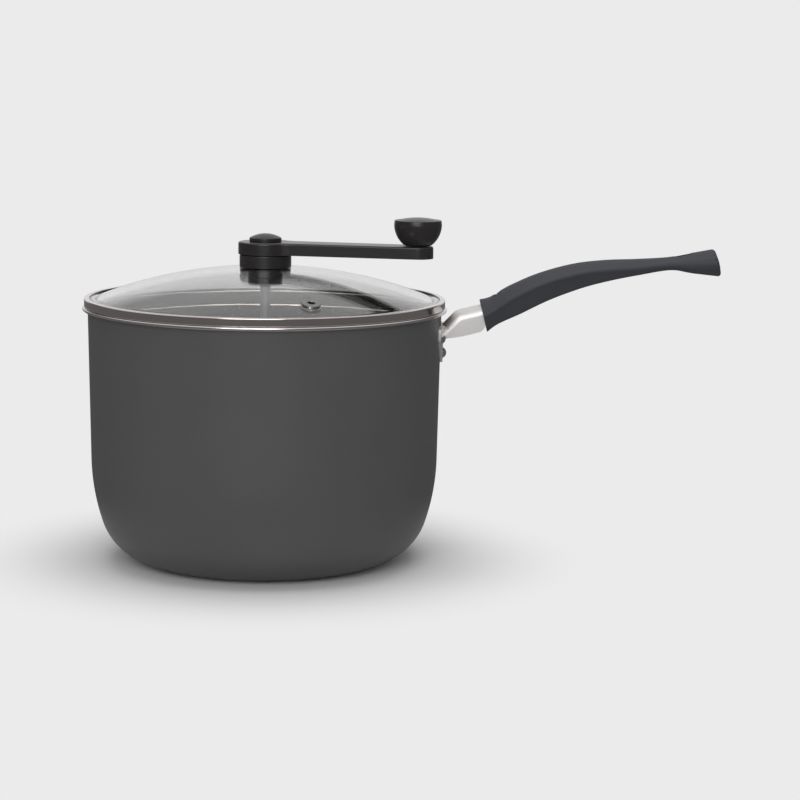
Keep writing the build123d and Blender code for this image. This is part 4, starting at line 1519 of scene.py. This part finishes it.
@dataclass
class Knob:
    """Bowl-shaped knob that turns on the crank's far end, with a crowned disc in its top."""

    crank: Crank
    foot_radius: float = 8.2
    foot_height: float = 0.4
    foot_inset: float = 0.6     # how far the foot's side stands inside the foot's radius
    foot_edge: float = 0.3
    belly_radius: float = 14.95
    belly_arc: float = 16.8     # the bowl's side is one arc of this radius, up to its widest place
    belly_height: float = 13.4
    rim_radius: float = 14.7
    height: float = 15.95
    edge: float = 0.5
    disc_radius: float = 12.8
    disc_depth: float = 1.6
    disc_crown: float = 1.6
    disc_edge: float = 0.15
    recess_edge: float = 0.25
    spindle_radius: float = 3.0

    def __post_init__(self) -> None:
        """Work out the knob's heights above the arm."""
        self.bottom = self.crank.top + self.crank.gap
        self.top = self.bottom + self.height

    def place(self) -> Matrix:
        """Move from the Z axis to the crank's far end."""
        return self.crank.place() @ shift(self.crank.throw, 0, 0)

    def bowl_mesh(self) -> BMesh:
        """Turn the knob's bowl.

        Returns:
            The closed mesh, in its place.
        """
        widest = self.bottom + self.belly_height
        foot_top = self.bottom + self.foot_height
        swing = asin((widest - foot_top) / self.belly_arc)
        centre = self.belly_radius - self.belly_arc
        start = (centre + self.belly_arc * cos(swing), foot_top)
        bore = self.spindle_radius + self.crank.bearing.slip
        foot = self.foot_radius - self.foot_inset
        pen = Pen((bore, self.bottom)).line((foot, self.bottom), self.foot_edge)
        pen.line((foot, foot_top)).line(start)
        pen.arc((centre, widest), degrees(swing), steps=22)
        pen.line((self.rim_radius, self.top), self.edge)
        recess = self.disc_radius + self.crank.bearing.slip
        pen.line((recess, self.top), self.recess_edge).line((recess, self.top - self.disc_depth))
        pen.line((bore, self.top - self.disc_depth))
        return moved(pen.close().turned(steps=96), self.place())

    def disc_mesh(self) -> BMesh:
        """Turn the crowned disc in the knob's top.

        Returns:
            The closed mesh, in its place.
        """
        sphere = (self.disc_radius ** 2 + self.disc_crown ** 2) / (2 * self.disc_crown)
        swing = degrees(asin(self.disc_radius / sphere))
        pen = Pen((0, self.top - self.disc_depth)).line((self.disc_radius, self.top - self.disc_depth))
        pen.line((self.disc_radius, self.top), self.disc_edge)
        pen.arc((0, self.top + self.disc_crown - sphere), swing, steps=18)
        return moved(pen.turned(steps=96), self.place())

    def build(self) -> None:
        """Show the knob and its disc."""
        body = Body.KNOB
        Piece("knob_bowl", body, "knob_plastic", (BLACK_NYLON,), ("knob",)).show(self.bowl_mesh())
        Piece("knob_disc", body, "knob_plastic", (BLACK_NYLON,), ("knob_cap",)).show(self.disc_mesh())


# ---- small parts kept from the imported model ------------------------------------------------
KEPT_NODES: dict[str, Finish] = {
    "handle_screw": DARK_SCREW,
    "upper_gasket": SILICONE,
    "lower_gasket": SILICONE,
    "shaft_clip": ZINC_PLATE,
    "arm_washer": ZINC_PLATE,
    "arm_screw": ZINC_PLATE,
    "knob_spindle": ZINC_PLATE,
    "spindle_nut": ZINC_PLATE,
    "stirrer_set_screw": ZINC_PLATE,
}


def dress_kept_nodes(nodes: dict[str, Object]) -> None:
    """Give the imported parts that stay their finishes.

    Args:
        nodes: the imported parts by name.
    """
    for name, finish in KEPT_NODES.items():
        node = nodes[name]
        if not node.material_slots:
            node.data.materials.append(finish.material())
        for holder in node.material_slots:
            holder.material = finish.material()
        log.info("%s: kept, finished as %s", name, finish.name)


# ---- studio ------------------------------------------------------------------------------
@dataclass(frozen=True)
class Lamp:
    """Soft rectangular lamp that faces the pot, in millimetres and watts."""

    name: str
    place: Place
    size: Point
    power: float
    mirrored: bool              # whether gloss shows the lamp itself


@dataclass
class Studio:
    """Pale floor, soft lamps and the camera."""

    page: str = "#EBEBEB"
    floor_colour: str = "#E4E4E4"
    floor_radius: float = 4000.0
    floor_drop: float = 0.3     # under the pot's base, so that the faces don't share a plane
    fade_start: float = 95.0    # the lit floor turns into the plain page between these distances
    fade_end: float = 215.0
    room: str = "#6C6A6B"       # the dim studio round the page, which only gloss sees
    page_narrow: float = 0.95   # cosine of the angle from straight behind, inside which gloss sees all page
    page_wide: float = 0.78     # the same, outside which it sees only the room
    roof_low: float = 0.30      # height of a ray's direction where the pale ceiling begins
    roof_high: float = 0.65     # and where it is full
    ambient: float = 0.42
    lamps: tuple[Lamp, ...] = (
        Lamp("overhead", (60, 100, 1900), (1500, 1500), 17.0, mirrored=False),
        Lamp("front", (-200, -2300, 1100), (1600, 1400), 26.0, mirrored=True),
    )
    lamp_target: Place = (60, 0, 110)
    camera_place: Place = (86.4, -1517.8, 334.25)
    camera_target: Place = (86.4, 0.0, 102.75)
    camera_roll: float = 0.70   # degrees
    lens: float = 108.0
    sensor: float = 36.0

    def page_rays(self, tree: NodeTree) -> tuple[NodeSocket, NodeSocket]:
        """Pick the rays that see the page and the rays of gloss.

        Args:
            tree: node tree that gets the nodes.

        Returns:
            A socket that is 1 from the camera and through glass, and one that is 1 for gloss.
        """
        path = add_node(tree, "ShaderNodeLightPath")
        direct = add_node(
            tree, "ShaderNodeMath",
            {0: path.outputs["Is Camera Ray"], 1: path.outputs["Is Transmission Ray"]}, operation="MAXIMUM",
        )
        return direct.outputs[0], path.outputs["Is Glossy Ray"]

    def build_world(self) -> None:
        """Make the ambient light, the page behind everything and the room that gloss sees."""
        world = bpy.data.worlds.new("studio")
        tree = empty_tree(world)
        direct, gloss = self.page_rays(tree)
        place = add_node(tree, "ShaderNodeTexCoord").outputs["Object"]
        way = add_node(tree, "ShaderNodeSeparateXYZ", {0: place})
        back = add_node(tree, "ShaderNodeMapRange", {
            "Value": way.outputs["Y"], "From Min": self.page_wide, "From Max": self.page_narrow,
        }, interpolation_type="SMOOTHSTEP")
        roof = add_node(tree, "ShaderNodeMapRange", {
            "Value": way.outputs["Z"], "From Min": self.roof_low, "From Max": self.roof_high,
        }, interpolation_type="SMOOTHSTEP")
        pale = add_node(
            tree, "ShaderNodeMath", {0: back.outputs["Result"], 1: roof.outputs["Result"]},
            operation="MAXIMUM",
        )
        soft = add_node(tree, "ShaderNodeBackground", {"Color": (1, 1, 1, 1), "Strength": self.ambient})
        page = add_node(tree, "ShaderNodeBackground", {"Color": linear(self.page), "Strength": 1.0})
        room = add_node(tree, "ShaderNodeBackground", {"Color": linear(self.room), "Strength": 1.0})
        in_gloss = add_node(tree, "ShaderNodeMixShader", {
            "Fac": pale.outputs[0], 1: room.outputs["Background"], 2: page.outputs["Background"],
        })
        lit = add_node(tree, "ShaderNodeMixShader", {
            "Fac": gloss, 1: soft.outputs["Background"], 2: in_gloss.outputs["Shader"],
        })
        mix = add_node(tree, "ShaderNodeMixShader", {
            "Fac": direct, 1: lit.outputs["Shader"], 2: page.outputs["Background"],
        })
        add_node(tree, "ShaderNodeOutputWorld", {"Surface": mix.outputs["Shader"]})
        bpy.context.scene.world = world

    def floor_material(self) -> Material:
        """Make the floor's material: lit near the object, and the plain page far from it.

        Returns:
            The material.
        """
        made = bpy.data.materials.new("studio_paper_matte")
        tree = empty_tree(made)
        direct, gloss = self.page_rays(tree)
        place = add_node(tree, "ShaderNodeTexCoord").outputs["Object"]
        distance = add_node(tree, "ShaderNodeVectorMath", {0: place}, operation="LENGTH")
        fade = add_node(tree, "ShaderNodeMapRange", {
            "Value": distance.outputs["Value"], "From Min": self.fade_start * MM,
            "From Max": self.fade_end * MM,
        }, interpolation_type="SMOOTHSTEP")
        seen, mirrored = (
            add_node(tree, "ShaderNodeMath", {0: fade.outputs["Result"], 1: rays}, operation="MULTIPLY")
            for rays in (direct, gloss)
        )
        paper = add_node(tree, "ShaderNodeBsdfDiffuse", {"Color": linear(self.floor_colour)})
        page = add_node(tree, "ShaderNodeEmission", {"Color": linear(self.page), "Strength": 1.0})
        room = add_node(tree, "ShaderNodeEmission", {"Color": linear(self.room), "Strength": 1.0})
        in_gloss = add_node(tree, "ShaderNodeMixShader", {
            "Fac": mirrored.outputs[0], 1: paper.outputs["BSDF"], 2: room.outputs["Emission"],
        })
        mix = add_node(tree, "ShaderNodeMixShader", {
            "Fac": seen.outputs[0], 1: in_gloss.outputs["Shader"], 2: page.outputs["Emission"],
        })
        add_node(tree, "ShaderNodeOutputMaterial", {"Surface": mix.outputs["Shader"]})
        return made

    def build_floor(self) -> None:
        """Lay the floor."""
        mesh = bmesh.new()
        bmesh.ops.create_circle(mesh, cap_ends=True, segments=96, radius=self.floor_radius * MM)
        bmesh.ops.translate(mesh, verts=mesh.verts[:], vec=(0, 0, -self.floor_drop * MM))
        data = bpy.data.meshes.new("floor")
        mesh.to_mesh(data)
        mesh.free()
        data.materials.append(self.floor_material())
        floor = placed("floor", data)

    def hang(self, lamp: Lamp) -> None:
        """Hang a lamp and aim it at the pot.

        Args:
            lamp: the lamp.
        """
        light = bpy.data.lights.new(lamp.name, "AREA")
        light.shape = "RECTANGLE"
        light.size, light.size_y = (side * MM for side in lamp.size)
        light.energy = lamp.power
        made = placed(lamp.name, light)
        made.location = Vector(lamp.place) * MM
        made.visible_glossy = lamp.mirrored
        aim = Vector(self.lamp_target) * MM - made.location
        made.rotation_euler = aim.to_track_quat("-Z", "Y").to_euler()

    def build_camera(self) -> None:
        """Set up the camera at the photograph's angle."""
        data = bpy.data.cameras.new("camera")
        data.lens = self.lens
        data.sensor_width = self.sensor
        camera = placed("camera", data)
        place, target = Vector(self.camera_place) * MM, Vector(self.camera_target) * MM
        aim = (target - place).to_track_quat("-Z", "Y").to_matrix().to_4x4()
        camera.matrix_world = Matrix.Translation(place) @ aim @ turn(self.camera_roll, "Z")
        bpy.context.scene.camera = camera

    def build(self) -> None:
        """Set up the whole studio."""
        bpy.context.scene.view_settings.view_transform = "Standard"
        self.build_world()
        self.build_floor()
        for lamp in self.lamps:
            self.hang(lamp)
        self.build_camera()
        log.info("studio is set up")


def main() -> None:
    """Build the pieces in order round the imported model."""
    logging.basicConfig(level=logging.INFO, format="%(name)s: %(message)s")
    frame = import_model()
    pot = Pot()
    lid = Lid(pot)
    bearing = Bearing(lid)
    crank = Crank(bearing)
    for assembly in (pot, Handle(pot), lid, bearing, crank, Knob(crank)):
        assembly.build()
    dress_kept_nodes(frame["nodes"])
    Studio().build()


if __name__ == "__main__":
    main()
